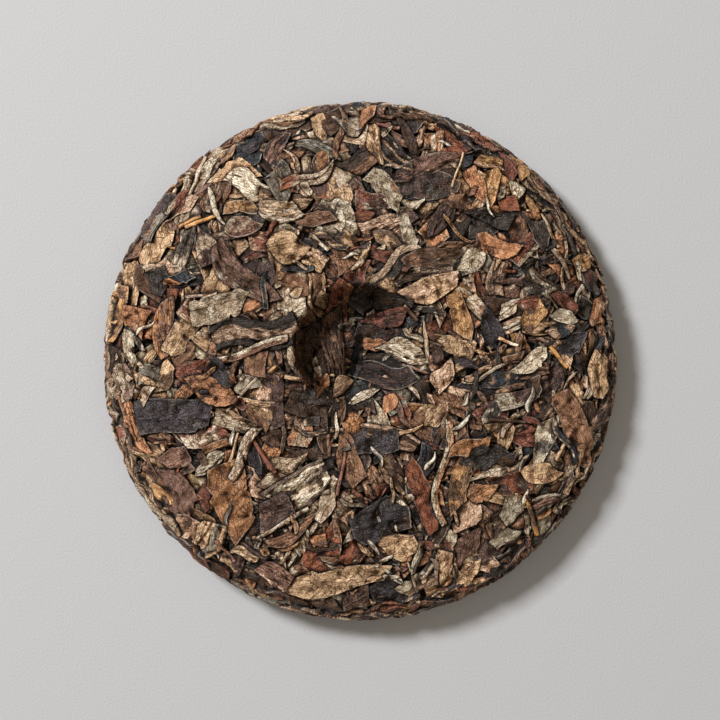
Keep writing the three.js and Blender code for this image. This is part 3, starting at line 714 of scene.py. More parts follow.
# What is known at each point of a leaf's grid
LEAF_GRIDS = ("map_x", "map_y", "top", "u", "v", "edge", "crest", "stripe")
HIDDEN_UNDER = 0.03  # a leaf with a smaller share in sight is left out
COARSE_UNDER = 0.3  # a leaf with a smaller share in sight gets a coarser grid
PALER_SIDE = 0.6  # painted light: how much the pale tones are favoured at the upper left edge, which faces the key light
LARGER_LEFT = 0.16  # how much larger the leaves are at the left edge than in the middle
RIM_START, RIM_WIDTH = 86.0, 12.0  # from where on, and over what width, the leaves follow the rim
RIM_SHARE = 0.35  # the share of them that do so from the start
RIM_SCATTER = 16  # degrees that they are off it, as a spread
LEVELLED_OVER = 2.7  # mm, the width over which pressing has levelled the leaves
HOLLOW_OVER = 1.6  # mm, the width over which a place counts as a hollow to fill
NEAR_OVER, DEEP_CAVITY = 0.9, 0.8  # mm, the width and the depth of the small hollows that are painted darkest, as painted shade
SHOWS_BELOW, HIDDEN_BELOW = 0.18, 0.65  # mm under the bed's surface, where a leaf shows and is hidden, and where its painted shade under the leaves over it begins and is darkest
SKIN_DEPTH = 0.95  # mm from the tips of the highest leaves to their mean level
GAP_DEPTH = 3.2  # mm from that level to the bottom of the deepest gap


def lay_layers(bed, layers, draws, filling=False):
    """Lays each layer's leaves at the lowest of a few random spots, or in hollows, and returns them.
    They are a little larger on the left of the cake than on the right."""
    laid = []
    for count, form, length, width, inner, reach, tones in layers:
        for index in range(count):
            long = length * draws.uniform(0.65, 1.4)
            wide = width * draws.uniform(0.65, 1.4)
            if filling:
                if index % 40 == 0:
                    bed.find_hollows()
                x, y = deepest_hollow(bed, reach, inner, draws)
            else:
                x, y = lowest_spot(bed, reach, inner, long, wide, draws)
            here = 1 - LARGER_LEFT * x / ROUND_RADIUS
            walked = math.hypot(x, y)
            turn = draws.uniform(0, 360)
            if walked > RIM_START:
                follow = smooth_step(RIM_START, RIM_START + RIM_WIDTH, walked)
                along_rim = math.degrees(math.atan2(y, x)) + 90 + draws.normal(0, RIM_SCATTER)
                turn = along_rim if draws.random() < RIM_SHARE + (1 - RIM_SHARE) * follow else turn
            # Painted light: pale tones are favoured towards the upper left, the side that faces the key
            # light
            to_upper_left = (y - x) / ROUND_RADIUS / math.sqrt(2)
            tone = pick(tones, draws, PALER_SIDE * max(to_upper_left, 0.3 * to_upper_left))
            laid.append(lay_leaf(bed, x, y, here * long, here * wide, turn, form, tone, draws))
    return laid


def share_in_sight(bed, leaf):
    """The share of a leaf's points that no other leaf covers."""
    return (bed.cover(leaf.map_x, leaf.map_y, leaf.top) < 0.6).mean()


def thinned(leaf):
    """A leaf with every second point of its grid left out."""
    for key in LEAF_GRIDS:
        setattr(leaf, key, getattr(leaf, key)[::2, ::2])
    return leaf


def lay_all(seed):
    """Lays the whole cake: on each side layer on layer, then on the face the landmarks, and last the
    small leaves in the hollows. The leaves that others hide altogether are left to the mass inside,
    and those that show little have a coarser grid."""
    draws = np.random.default_rng(seed)
    beds = {UNDER: Bed(UNDER, UNDER_REACH), FACE: Bed(FACE, FACE_REACH)}
    leaves = lay_layers(beds[UNDER], UNDER_LAYERS, draws)
    leaves += lay_layers(beds[UNDER], UNDER_FILL, draws, filling=True)
    leaves += lay_layers(beds[FACE], FACE_LAYERS, draws)
    leaves += [lay_leaf(beds[FACE], *landmark, draws) for landmark in LANDMARKS]
    leaves += lay_layers(beds[FACE], FACE_FILL, draws, filling=True)
    for bed in beds.values():
        bed.settle()
    kept = []
    for leaf in leaves:
        share = share_in_sight(beds[leaf.side], leaf)
        if share > HIDDEN_UNDER:
            rows, columns = leaf.top.shape
            thin = share < COARSE_UNDER and rows > 5 and columns > 3
            kept.append(thinned(leaf) if thin else leaf)
    return kept, beds


class Grid:
    """Which points and faces make a closed leaf of rows by columns points: the top, a lower ring under
    its edge, a lower line down its middle, and the quads and triangles between them."""

    def __init__(self, rows, columns):
        top = np.arange(rows * columns).reshape(rows, columns)
        ring = np.concatenate((top[0, :-1], top[:-1, -1], top[-1, :0:-1], top[:0:-1, 0]))
        self.ring = ring
        low = {int(p): rows * columns + i for i, p in enumerate(ring)}
        self.middle = top[1:-1, columns // 2]
        spine = {int(p): rows * columns + len(ring) + i for i, p in enumerate(self.middle)}
        quads = np.stack((top[:-1, :-1], top[1:, :-1], top[1:, 1:], top[:-1, 1:]), -1).reshape(-1, 4)
        after = np.roll(ring, -1)
        under = np.array([low[int(p)] for p in ring])
        skirt = np.stack((ring, after, np.roll(under, -1), under), -1)
        half = columns // 2
        faces, corners = [], []
        for i in range(1, rows - 2):
            a, b = low[int(top[i, 0])], low[int(top[i + 1, 0])]
            c, d = spine[int(top[i, half])], spine[int(top[i + 1, half])]
            e, f = low[int(top[i, -1])], low[int(top[i + 1, -1])]
            faces += [(a, c, d, b), (c, e, f, d)]
        for row, inner, turned in ((0, 1, False), (rows - 1, rows - 2, True)):
            left, right = low[int(top[inner, 0])], low[int(top[inner, -1])]
            middle = spine[int(top[inner, half])]
            end = [low[int(p)] for p in top[row]]
            tris = [(end[j], end[j + 1], left if j < half else right) for j in range(columns - 1)]
            tris.insert(half, (end[half], middle, left))
            tris.append((end[half], right, middle))
            corners += [tri[::-1] if turned else tri for tri in tris]
        self.quads = np.concatenate((quads, skirt, np.array(faces).reshape(-1, 4)))
        self.seen = len(quads) + len(skirt)
        self.triangles = np.array(corners)
        self.count = rows * columns + len(ring) + len(self.middle)
        row, column = ring // columns, ring % columns
        along = np.where(row == 0, -1, np.where(row == rows - 1, 1, 0))
        across = np.where(column == 0, -1, np.where(column == columns - 1, 1, 0))
        self.outward = np.stack((along, across), -1)
        self.low = slice(rows * columns, rows * columns + len(ring))


_GRIDS = {}


def grid_of(rows, columns):
    """The grid of this size, worked out once and kept."""
    if (rows, columns) not in _GRIDS:
        _GRIDS[rows, columns] = Grid(rows, columns)
    return _GRIDS[rows, columns]


def with_underside(values, grid, low=None, middle=None):
    """Values on the top points of many like leaves, continued to their lower ring and middle line."""
    flat = values.reshape(len(values), -1)
    low = flat[:, grid.ring] if low is None else low
    middle = flat[:, grid.middle] if middle is None else middle
    return np.concatenate((flat, low, middle), 1)


LEAST_WALL = 0.08  # mm of leaf over the lines between a leaf's lower points


def under_heights(top, grid, thick):
    """The heights of the lower ring and middle line under many like leaves. The ring lies a leaf's
    thickness under the lowest of the nearest points, and the middle line as low as it takes to keep
    straight lines from it to the ring under every point between them."""
    count, rows, columns = top.shape
    padded = np.pad(top, ((0, 0), (1, 1), (1, 1)), mode="edge")
    lowest = top
    for down in (0, 1, 2):
        for across in (0, 1, 2):
            lowest = np.minimum(lowest, padded[:, down : down + rows, across : across + columns])
    ring = lowest.reshape(count, -1)[:, grid.ring] - thick
    half = columns // 2
    share = np.abs(np.arange(1, columns - 1) - half) / half
    share = 1 - share[None, None]
    outer = np.where(np.arange(1, columns - 1) <= half, lowest[:, :, :1], lowest[:, :, -1:]) - thick
    needed = (top[:, :, 1:-1] - LEAST_WALL - (1 - share) * outer) / share
    middle = np.minimum(needed.min(2), lowest[:, :, half] - thick)
    return ring, middle[:, 1:-1]


UV_UNIT = 10.0  # mm of leaf to one unit of the map "Leaf"
TONE_SPREAD = 0.44  # how far two leaves of one tone may differ in lightness
SHARP_ANGLE = 55  # degrees; a sharper edge is shaded as an edge
BAKE_MAP = "OFBake"
THIN_SIDE = 0.35  # mm, how wide a leaf's thin side is laid out round it on the bake map
CELL_GAP = 0.15  # mm between leaves on the bake map
UNDER_SCALE = 0.25  # how large a leaf's hidden underside is on the bake map, against its top


def packed(sizes):
    """The low corner of each of many rectangles laid in shelves, the tallest first, and the side of
    the square they fill, which grows from the root of their area until they fit."""
    side = max(math.sqrt(sizes.prod(1).sum()), sizes.max())
    corner = np.zeros_like(sizes)
    while True:
        x = y = shelf = 0.0
        for index in np.argsort(-sizes[:, 1], kind="stable"):
            wide, tall = sizes[index]
            if x + wide > side:
                x, y, shelf = 0.0, y + shelf, 0.0
            corner[index] = x, y
            x, shelf = x + wide, max(shelf, tall)
        if y + shelf <= side:
            return corner, side
        side *= 1.01


def bake_corners(flats):
    """The bake map at each face corner, quads first. Each leaf has a cell of its own at true scale: its
    top laid flat, its thin side pushed out round that, and its underside as a small copy beside it."""
    cells, small_cells, sizes = [], [], []
    for grid, _, flat in flats:
        cell = flat.copy()
        cell[:, grid.low] += THIN_SIDE * grid.outward
        small = UNDER_SCALE * flat
        cell -= cell.min(1, keepdims=True)
        small -= small.min(1, keepdims=True)
        small[..., 1] += cell[..., 1].max(1, keepdims=True) + CELL_GAP
        cells.append(cell)
        small_cells.append(small)
        sizes.append(np.maximum(cell.max(1), small.max(1)) + CELL_GAP)
    corner, side = packed(np.concatenate(sizes))
    quads, triangles = [], []
    start = 0
    for (grid, turned, flat), cell, small in zip(flats, cells, small_cells):
        place = corner[start : start + len(flat), None]
        cell, small = (cell + place) / side, (small + place) / side
        seen, hidden = cell[:, grid.quads[: grid.seen]], small[:, grid.quads[grid.seen :]]
        quads.append(np.concatenate((seen, hidden), 1)[:, :, turned].reshape(-1, 2))
        triangles.append(small[:, grid.triangles][:, :, turned].reshape(-1, 2))
        start += len(flat)
    return np.concatenate(quads + triangles)


def mesh_of_leaves(name, leaves, beds, colours):
    """One mesh of many closed leaves. Leaves with like grids are worked out together. A leaf's tone is
    lighter or darker by a chance of its own, and painted darker towards the bottom of the dimple as painted
    shade."""
    made = {key: [] for key in ("points", "quads", "triangles", "Tone", "Second", "Wear", "Depth", "Leaf")}
    flats = []
    start = 0
    groups = {}
    for leaf in leaves:
        groups.setdefault((leaf.side, FORMS[leaf.form]["thick"], *leaf.top.shape), []).append(leaf)
    for (side, thick, rows, columns), like in groups.items():
        grid, bed = grid_of(rows, columns), beds[side]
        stack = {key: np.stack([getattr(leaf, key) for leaf in like]) for key in LEAF_GRIDS}
        whole = (with_underside(stack[key], grid) for key in LEAF_GRIDS)
        map_x, map_y, top, u, v, edge, crest, stripe = whole
        height = with_underside(stack["top"], grid, *under_heights(stack["top"], grid, thick))
        placed = on_cake(side, map_x, map_y, bed.lift(map_x, map_y, height))
        made["points"].append(placed.reshape(-1, 3))
        offsets = start + grid.count * np.arange(len(like))[:, None, None]
        turned = slice(None, None, -1 if side == UNDER else 1)
        made["quads"].append((grid.quads[None] + offsets)[..., turned].reshape(-1, 4))
        made["triangles"].append((grid.triangles[None] + offsets)[..., turned].reshape(-1, 3))
        start += grid.count * len(like)
        # Painted shade: the tones darken towards the bottom of the dimple, where its walls shade it
        deep = dimple_sink(placed[..., 0], placed[..., 1]) / DIMPLE_DEPTH if side == FACE else 0 * map_x
        shade = 1 - DIMPLE_SHADE * np.clip(deep, 0, 1)
        chance = np.stack([leaf.chance for leaf in like])
        lighter = 1 - TONE_SPREAD / 2 + TONE_SPREAD * chance[:, 1:2]
        for key in ("Tone", "Second"):
            colour = np.array([colours[getattr(leaf, key.lower())] for leaf in like]) * lighter
            made[key].append((colour[:, None] * shade[..., None]).reshape(-1, 3))
        # cover and cavity darken the colour in the material: painted shade under other leaves and in small
        # hollows
        cover, cavity = bed.cover(map_x, map_y, top), bed.cavity(map_x, map_y, top)
        flat = np.stack((u, v), -1)
        made["Wear"].append(np.stack((edge, crest, chance[:, :1] + 0 * edge), -1).reshape(-1, 3))
        made["Depth"].append(np.stack((cover, cavity, stripe), -1).reshape(-1, 3))
        made["Leaf"].append(flat.reshape(-1, 2))
        flats.append((grid, turned, flat))
    made = {key: np.concatenate(values) for key, values in made.items()}
    mesh = closed_mesh(name, made["points"] * MM, made["quads"], made["triangles"])
    for key in ("Tone", "Second", "Wear", "Depth"):
        set_attribute(mesh, key, made[key])
    set_uv(mesh, "Leaf", made["Leaf"] / UV_UNIT)
    set_corner_uv(mesh, BAKE_MAP, bake_corners(flats))
    mesh.uv_layers["Leaf"].active_render = True
    mesh.set_sharp_from_angle(angle=math.radians(SHARP_ANGLE))
    return mesh


def closed_mesh(name, points, quads, triangles):
    """A mesh from arrays of points, quads and triangles."""
    mesh = bpy.data.meshes.new(name)
    mesh.vertices.add(len(points))
    mesh.vertices.foreach_set("co", points.astype(np.float32).ravel())
    corners = np.concatenate((quads.ravel(), triangles.ravel())).astype(np.int32)
    counts = np.concatenate((np.full(len(quads), 4), np.full(len(triangles), 3)))
    mesh.loops.add(len(corners))
    mesh.loops.foreach_set("vertex_index", corners)
    mesh.polygons.add(len(counts))
    mesh.polygons.foreach_set("loop_start", np.concatenate(([0], np.cumsum(counts)[:-1])).astype(np.int32))
    mesh.polygons.foreach_set("use_smooth", np.ones(len(counts), bool))
    mesh.update(calc_edges=True)
    mesh.validate()
    return mesh


def set_attribute(mesh, name, values):
    """Three numbers for each point, which the materials read by this name."""
    attribute = mesh.attributes.new(name, "FLOAT_VECTOR", "POINT")
    attribute.data.foreach_set("vector", values.astype(np.float32).ravel())


def set_uv(mesh, name, per_point):
    """A UV map from a place for each point."""
    vertex = np.empty(len(mesh.loops), np.int32)
    mesh.loops.foreach_get("vertex_index", vertex)
    set_corner_uv(mesh, name, per_point[vertex])


def set_corner_uv(mesh, name, per_corner):
    """A UV map from a place for each face corner, in the order that the faces went into the mesh."""
    if len(per_corner) != len(mesh.loops):
        raise RuntimeError(f"{mesh.name} has lost faces")
    layer = mesh.uv_layers.new(name=name, do_init=False)
    layer.uv.foreach_set("vector", per_corner.astype(np.float32).ravel())


MATH, RANGE, NOISE = "ShaderNodeMath", "ShaderNodeMapRange", "ShaderNodeTexNoise"
VEIN_SPACING = 2.8  # mm between two side veins
VEIN_SLANT = 0.9  # how far a side vein leans forward, against how far it runs out from the rib
LEAF_APART = 90.0  # units of the map, how far at most the patterns of two leaves lie from each other
TORN_EDGE = "#d4c7b5"  # the pale inside of the leaf, which a torn edge and down show


def add_node(tree, kind, *inputs, named=None, **settings):
    """Adds a shader node with its settings. Its inputs come in the order they have on the node, or by
    name or number. Each is a number, a colour, an output, or a node, which stands for its first output."""
    node = tree.nodes.new(kind)
    for key, value in settings.items():
        setattr(node, key, value)
    for key, value in {**dict(enumerate(inputs)), **(named or {})}.items():
        if isinstance(value, bpy.types.Node):
            value = value.outputs[0]
        if isinstance(value, bpy.types.NodeSocket):
            tree.links.new(value, node.inputs[key])
        else:
            node.inputs[key].default_value = value
    return node


def new_material(name):
    """A material without nodes, and its tree."""
    material = bpy.data.materials.new(name)
    material.use_nodes = True
    material.node_tree.nodes.clear()
    return material, material.node_tree


def scaled_by(tree, value, ranges):
    """A value multiplied by others, each carried from one range to another on a straight line and held
    at its ends."""
    for ranged in ranges:
        factor = add_node(tree, RANGE, *ranged)
        value = add_node(tree, MATH, value, factor, operation="MULTIPLY")
    return value


def leaf_veins(tree, leaf_map, chance, blotch, strength):
    """The rib of a leaf and the veins that branch off it, as a value from -1 to 1: raised and pale on
    some leaves, sunk and dark on the others. The rib is where the distance m across the leaf from its
    own middle is near 0, and the side veins are where u + 0.9 m is halfway between two whole numbers of
    spacings. The blotches bend both a little."""
    along, across = add_node(tree, "ShaderNodeSeparateXYZ", leaf_map).outputs[:2]
    rib_place = add_node(tree, RANGE, chance, 0.0, 1.0, -0.25, 0.25)
    off_middle = add_node(tree, MATH, blotch, 0.12, rib_place, operation="MULTIPLY_ADD")
    off_rib = add_node(tree, MATH, across, off_middle, operation="ADD")
    from_rib = add_node(tree, MATH, off_rib, operation="ABSOLUTE")
    rib = add_node(tree, RANGE, from_rib, 0.012, 0.04, 1.0, 0.0)
    slanted = add_node(tree, MATH, from_rib, VEIN_SLANT, along, operation="MULTIPLY_ADD")
    bent = add_node(tree, MATH, blotch, 2.0, operation="MULTIPLY")
    counted = add_node(tree, MATH, slanted, UV_UNIT / VEIN_SPACING, bent, operation="MULTIPLY_ADD")
    step = add_node(tree, MATH, counted, operation="FRACT")
    off_vein = add_node(tree, MATH, step, 0.5, operation="SUBTRACT")
    from_vein = add_node(tree, MATH, off_vein, operation="ABSOLUTE")
    side = add_node(tree, RANGE, from_vein, 0.02, 0.09, 0.75, 0.0)
    # Another chance of the leaf's own, from the later digits of the first
    later = add_node(tree, MATH, chance, 7.0, operation="MULTIPLY")
    again = add_node(tree, MATH, later, operation="FRACT")
    shown = add_node(tree, MATH, rib, side, operation="MAXIMUM")
    shown = scaled_by(tree, shown, [(again, 0.35, 0.45, -1.0, 1.0)])
    return add_node(tree, MATH, shown, strength, operation="MULTIPLY")


def dried_leaf_material(name, roughness, bump, furrow=0.25, veins=0.0, downy=0.0):
    """Steamed, sun-dried and pressed tea leaf: thin, leathery and wrinkled. The eye gets soft blotches a
    few millimetres across, fine creases painted darker as shade, cracks and fibres, a rib with side veins,
    painted shade in hollows, under other leaves and in the gap round each leaf, ridges painted paler partly
    as wear and partly as painted highlight, pale torn edges, and a dull waxy sheen. bump is the height of
    its wrinkles in millimetres, furrow how much darker the valleys are painted as shade and how much paler
    the ridges, veins how far the veins stand out, and downy how much down it has."""
    material, tree = new_material(name)
    # Wear holds the closeness to the edge (pale torn edge, and painted shade of the gap), the height on a
    # ridge (painted shade and highlight) and a chance
    wear_and_shade, depth, tone, second = (
        add_node(tree, "ShaderNodeAttribute", attribute_name=key).outputs["Vector"]
        for key in ("Wear", "Depth", "Tone", "Second")
    )
    edge, crest, chance = add_node(tree, "ShaderNodeSeparateXYZ", wear_and_shade).outputs
    cover, cavity, stripe = add_node(tree, "ShaderNodeSeparateXYZ", depth).outputs
    leaf_map = add_node(tree, "ShaderNodeUVMap", uv_map="Leaf")
    away = add_node(tree, MATH, chance, LEAF_APART, operation="MULTIPLY")
    apart = add_node(tree, "ShaderNodeCombineXYZ", away)
    place = add_node(tree, "ShaderNodeVectorMath", leaf_map, apart, operation="ADD")

    # One unit of the map is 10 mm, so a scale of 1.7 is a blotch about every 6 mm
    blotches = add_node(tree, NOISE, named={"Vector": place, "Scale": 1.7, "Detail": 3.0}).outputs[1]
    blotch, stain, dryness = add_node(tree, "ShaderNodeSeparateColor", blotches).outputs
    # Fibres run along the leaf, about 0.45 mm apart
    lengthwise = add_node(tree, "ShaderNodeMapping", named={"Vector": place, "Scale": (0.2, 1.0, 1.0)})
    fibre = add_node(tree, NOISE, named={"Vector": lengthwise, "Scale": 22.0, "Detail": 2.0})
    # Grain of the leaf's skin, about 0.4 mm across
    grain = add_node(tree, NOISE, named={"Vector": place, "Scale": 25.0, "Detail": 1.5})
    # Creases are where a stretched noise passes its middle value: thin lines about 1.5 mm apart, which are
    # painted darker as shade
    longer = add_node(tree, "ShaderNodeMapping", named={"Vector": place, "Scale": (0.55, 1.0, 1.0)})
    waviness = {"Vector": longer, "Scale": 6.0, "Detail": 2.0, "Distortion": 0.6}
    waves = add_node(tree, NOISE, named=waviness)
    off_middle = add_node(tree, MATH, waves, 0.5, operation="SUBTRACT")
    from_middle = add_node(tree, MATH, off_middle, operation="ABSOLUTE")
    crease = add_node(tree, RANGE, from_middle, 0.0, 0.04, 1.0, 0.0)
    # Cracks, about 3.5 mm apart, bent by the blotches and only where the leaf is stained
    bent = add_node(tree, "ShaderNodeVectorMath", blotches, place, operation="ADD")
    cells = {"Vector": bent, "Scale": 2.8}
    net = add_node(tree, "ShaderNodeTexVoronoi", named=cells, feature="DISTANCE_TO_EDGE")
    crack = add_node(tree, RANGE, net, 0.02, 0.07, 1.0, 0.0)
    cracked = scaled_by(tree, crack, [(stain, 0.42, 0.5, 0.0, 1.0)])
    vein = leaf_veins(tree, leaf_map, chance, blotch, veins)

    # The second tone lies on some of the folds and spreads by the stains
    stained = add_node(tree, MATH, stain, 0.5, operation="SUBTRACT")
    mask = add_node(tree, MATH, stained, 1.2, stripe, operation="MULTIPLY_ADD")
    share = add_node(tree, RANGE, mask, 0.52, 0.62, 0.0, 0.85)
    tones = {0: share, 6: tone, 7: second}
    colour = add_node(tree, "ShaderNodeMix", named=tones, data_type="RGBA").outputs[2]
    value = scaled_by(
        tree,
        add_node(tree, RANGE, blotch, 0.3, 0.7, 0.8, 1.24),
        (
            (fibre, 0.36, 0.64, 1 - 0.7 * furrow, 1 + 0.7 * furrow),
            (grain, 0.36, 0.64, 0.6, 1.4),
            # painted shade in the creases
            (crease, 0.0, 1.0, 1.05, 0.5),
            (cracked, 0.0, 1.0, 1.0, 0.3),
            (vein, -1.0, 1.0, 0.5, 1.5),
            # valleys painted darker as shade, ridges paler partly as wear and partly as painted highlight
            (crest, 0.0, 0.5, 1 - furrow, 1.0),
            (crest, 0.5, 1.0, 1.0, 1 + 0.6 * furrow),
            # painted shade in small hollows
            (cavity, 0.2, 0.9, 1.0, 0.2),
            # painted shade where another leaf lies over a point
            (cover, 0.0, 0.8, 1.0, 0.03),
            # painted shade in the gap at each leaf's border
            (edge, 0.75, 1.0, 1.0, 0.45),
        ),
    )
    # Painted light: hollows painted darker are also redder, as their light has bounced from leaf to leaf,
    # and crests painted paler are greyer
    green, blue = (add_node(tree, MATH, value, power, operation="POWER") for power in (1.18, 1.42))
    tint = add_node(tree, "ShaderNodeCombineXYZ", value, green, blue)
    shaded = add_node(tree, "ShaderNodeVectorMath", colour, tint, operation="MULTIPLY")
    # A torn edge is a pale line just inside the painted shade of the gap round the leaf
    worn = scaled_by(
        tree,
        add_node(tree, RANGE, edge, 0.25, 0.6, 0.0, 1.0),
        ((edge, 0.75, 0.95, 1.0, 0.2), (stain, 0.42, 0.6, 0.1, 1.0), (chance, 0.2, 1.0, 0.0, 0.6)),
    )
    flecks = scaled_by(tree, crest, [(grain, 0.6, 0.7, 0.0, 0.3 + 0.5 * downy)])
    pale = add_node(tree, MATH, worn, flecks, operation="MAXIMUM")
    pale = scaled_by(tree, pale, [(cover, 0.0, 0.4, 1.0, 0.0)])
    rubbed = {0: pale, 6: shaded, 7: (*to_linear(TORN_EDGE), 1)}
    colour = add_node(tree, "ShaderNodeMix", named=rubbed, data_type="RGBA").outputs[2]

    height = add_node(tree, MATH, fibre, 2 * furrow, operation="MULTIPLY")
    for part, tall in ((grain, 0.3), (waves, 1.3), (crease, -0.12), (cracked, -0.25), (vein, 0.25)):
        height = add_node(tree, MATH, part, tall, height, operation="MULTIPLY_ADD")
    relief = {"Height": height, "Strength": 1.0, "Distance": bump * MM}
    skin = {
        "Base Color": colour,
        "Roughness": add_node(tree, RANGE, dryness, 0.3, 0.7, roughness - 0.12, roughness + 0.15),
        "Normal": add_node(tree, "ShaderNodeBump", named=relief),
        "Specular IOR Level": 0.45,
        "Sheen Weight": 0.5 * downy,
    }
    shader = add_node(tree, "ShaderNodeBsdfPrincipled", named=skin)
    add_node(tree, "ShaderNodeOutputMaterial", shader)
    return material


def floor_material(colour):
    """Painted board: an even matte pale grey with the faint tooth of the paint roller."""
    material, tree = new_material("painted_board")
    place = add_node(tree, "ShaderNodeTexCoord").outputs["Object"]
    # The tooth of the paint, about 0.9 mm across and 0.2 mm deep
    dabs = {"Vector": place, "Scale": 1100.0, "Detail": 1.0, "Roughness": 0.5}
    tooth = add_node(tree, NOISE, named=dabs)
    relief = {"Height": tooth, "Strength": 0.5, "Distance": 0.2 * MM}
    normal = add_node(tree, "ShaderNodeBump", named=relief)
    paint = {"Base Color": (*colour, 1), "Roughness": 0.8, "Normal": normal}
    shader = add_node(tree, "ShaderNodeBsdfPrincipled", named=paint)
    add_node(tree, "ShaderNodeOutputMaterial", shader)
    return material


UNDER_GAPS = 0.2  # mm that the pressed mass lies below the deepest gap


class TeaCakeSizes(PropertyGroup):
    core_depth: FloatProperty(
        name="Core depth",
        description="How far the pressed mass lies below the tips of the leaves",
        default=(SKIN_DEPTH + GAP_DEPTH + UNDER_GAPS) * MM,
        unit="LENGTH",
    )
    seed: IntProperty(name="Seed", description="Start of the random draws", default=411)


class TeaCakeColours(PropertyGroup):
    """One colour for each tone of leaf."""

    __annotations__ = {
        key: FloatVectorProperty(
            name=key.replace("_", " ").capitalize(),
            description=f"Colour of {use}",
            subtype="COLOR",
            default=to_linear(colour),
            min=0,
            max=1,
        )
        for key, (colour, use) in TONES.items()
    }


class TeaStageLook(PropertyGroup):
    floor_colour: FloatVectorProperty(
        name="Floor",
        description="Colour of the board",
        subtype="COLOR",
        default=to_linear("#c0c1c4"),
        min=0,
        max=1,
    )
    camera_height: FloatProperty(
        name="Camera height",
        description="Above the floor, looking straight down",
        default=0.667,
        unit="LENGTH",
    )


LAID = {}


def laid_leaves(context):
    """The leaves of the whole cake and the beds that they lie on, laid once and kept."""
    if not LAID:
        LAID["leaves"], LAID["beds"] = lay_all(context.scene.tea_sizes.seed)
    return LAID["leaves"], LAID["beds"]


def tones_in(context):
    """The colour that each tone is set to."""
    return {key: tuple(getattr(context.scene.tea_colours, key)) for key in TONES}


def add_piece(name, mesh, material):
    """Adds a finished mesh as a piece of the cake, which stands for the plain solid."""
    piece = bpy.data.objects.new(name, mesh)
    bpy.context.scene.collection.objects.link(piece)
    mesh.materials.append(material)
    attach(piece, BODY)
    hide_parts(CAKE_NODE)
    return piece


def add_leaves(context, name, forms, sides, material, tones=tuple(TONES)):
    """Makes the piece that holds every laid leaf of these forms and tones on these sides of the cake."""
    leaves, beds = laid_leaves(context)
    chosen = [leaf for leaf in leaves if leaf.form in forms and leaf.side in sides and leaf.tone in tones]
    mesh = mesh_of_leaves(name, chosen, beds, tones_in(context))
    return add_piece(name, mesh, material)


MASS_COLOUR = "#2b211b"  # the inside of the cake, painted dark as the shade of the gaps, which is all of it that shows
MASS_RINGS, MASS_AROUND = 80, 180
MASS_ROUGHNESS, MASS_SEED = 0.3, 7  # in mm, and the start of its random draws
MASS_OFF_FLOOR = 0.5  # mm
POLE_DEPTH = 0.6  # mm, of the middle of its underside


class TEA_OT_core(Operator):
    """Makes the pressed mass under the leaves: the cake's round form with a rough skin, from rings of
    points walked out from the middle of the face to the middle of the underside"""

    bl_idname = "tea.core"
    bl_label = "Pressed mass"

    def execute(self, context):
        rings, around = MASS_RINGS, MASS_AROUND
        share = np.linspace(0, 1, rings + 2)[1:-1]
        walked = share * WHOLE_WALK
        heading = np.arange(around) * 2 * math.pi / around
        cos, sin = np.cos(heading)[None], np.sin(heading)[None]
        draws = np.random.default_rng(MASS_SEED)
        rough = MASS_ROUGHNESS * draws.random((rings, around))
        depth = -context.scene.tea_sizes.core_depth / MM - rough
        skin = on_cake(FACE, walked[:, None] * cos, walked[:, None] * sin, depth)
        skin[..., 2] = np.maximum(skin[..., 2], MASS_OFF_FLOOR)
        middle = np.array(1e-6), np.array(0.0)
        poles = np.stack((on_cake(FACE, *middle, depth[0, 0]), on_cake(UNDER, *middle, -POLE_DEPTH)))
        points = np.concatenate((skin.reshape(-1, 3), poles)) * MM
        at = np.arange(rings * around).reshape(rings, around)
        after = np.roll(at, -1, 1)
        quads = np.stack((at[:-1], at[1:], after[1:], after[:-1]), -1).reshape(-1, 4)
        top, bottom = rings * around, rings * around + 1
        caps = np.concatenate(
            (
                np.stack((np.full(around, top), at[0], after[0]), -1),
                np.stack((np.full(around, bottom), after[-1], at[-1]), -1),
            )
        )
        mesh = closed_mesh("pressed_mass", points, quads, caps)
        tone = to_linear(MASS_COLOUR)
        halfway = (0.0, 0.5, 0.5)
        in_shade = (0.4, 0.4, 0.0)
        for key, value in (("Tone", tone), ("Wear", halfway), ("Second", tone), ("Depth", in_shade)):
            set_attribute(mesh, key, np.tile(value, (len(points), 1)))
        set_uv(mesh, "Leaf", points[:, :2] / MM / UV_UNIT)
        material = dried_leaf_material("pressed_leaf_mass", 0.8, 0.5)
        add_piece("pressed_mass", mesh, material)
        return {"FINISHED"}


class TEA_OT_plates(Operator):
    """Makes the torn flat leaves of the face, those that dried dark, brown and pale each as a piece"""

    bl_idname = "tea.plates"
    bl_label = "Torn leaves"

    def execute(self, context):
        forms = ("plate", "wedge", "lance")
        brown = [tone for tone in TONES if tone not in DARK_TONES + PALEST_TONES]
        for name, stuff, roughness, tones in (
            ("dark_torn_leaves", "waxy_dark_leaf", 0.46, DARK_TONES),
            ("brown_torn_leaves", "sun_dried_leaf", 0.6, brown),
            ("pale_torn_leaves", "weathered_leaf", 0.68, PALEST_TONES),
        ):
            material = dried_leaf_material(stuff, roughness, 0.8, veins=0.8)
            add_leaves(context, name, forms, (FACE,), material, tones)
        return {"FINISHED"}


class TEA_OT_folds(Operator):
    """Makes the folded and ridged leaves of the face"""

    bl_idname = "tea.folds"
    bl_label = "Folded leaves"

    def execute(self, context):
        material = dried_leaf_material("folded_dried_leaf", 0.58, 0.8, furrow=0.7)
        add_leaves(context, "folded_leaves", ("fold", "pleat"), (FACE,), material)
        return {"FINISHED"}


class TEA_OT_strips(Operator):
    """Makes the narrow twisted shreds of the face and rim"""

    bl_idname = "tea.strips"
    bl_label = "Twisted shreds"

    def execute(self, context):
        material = dried_leaf_material("twisted_dried_leaf", 0.58, 0.7, furrow=0.65)
        add_leaves(context, "twisted_shreds", ("strip",), (FACE,), material)
        return {"FINISHED"}


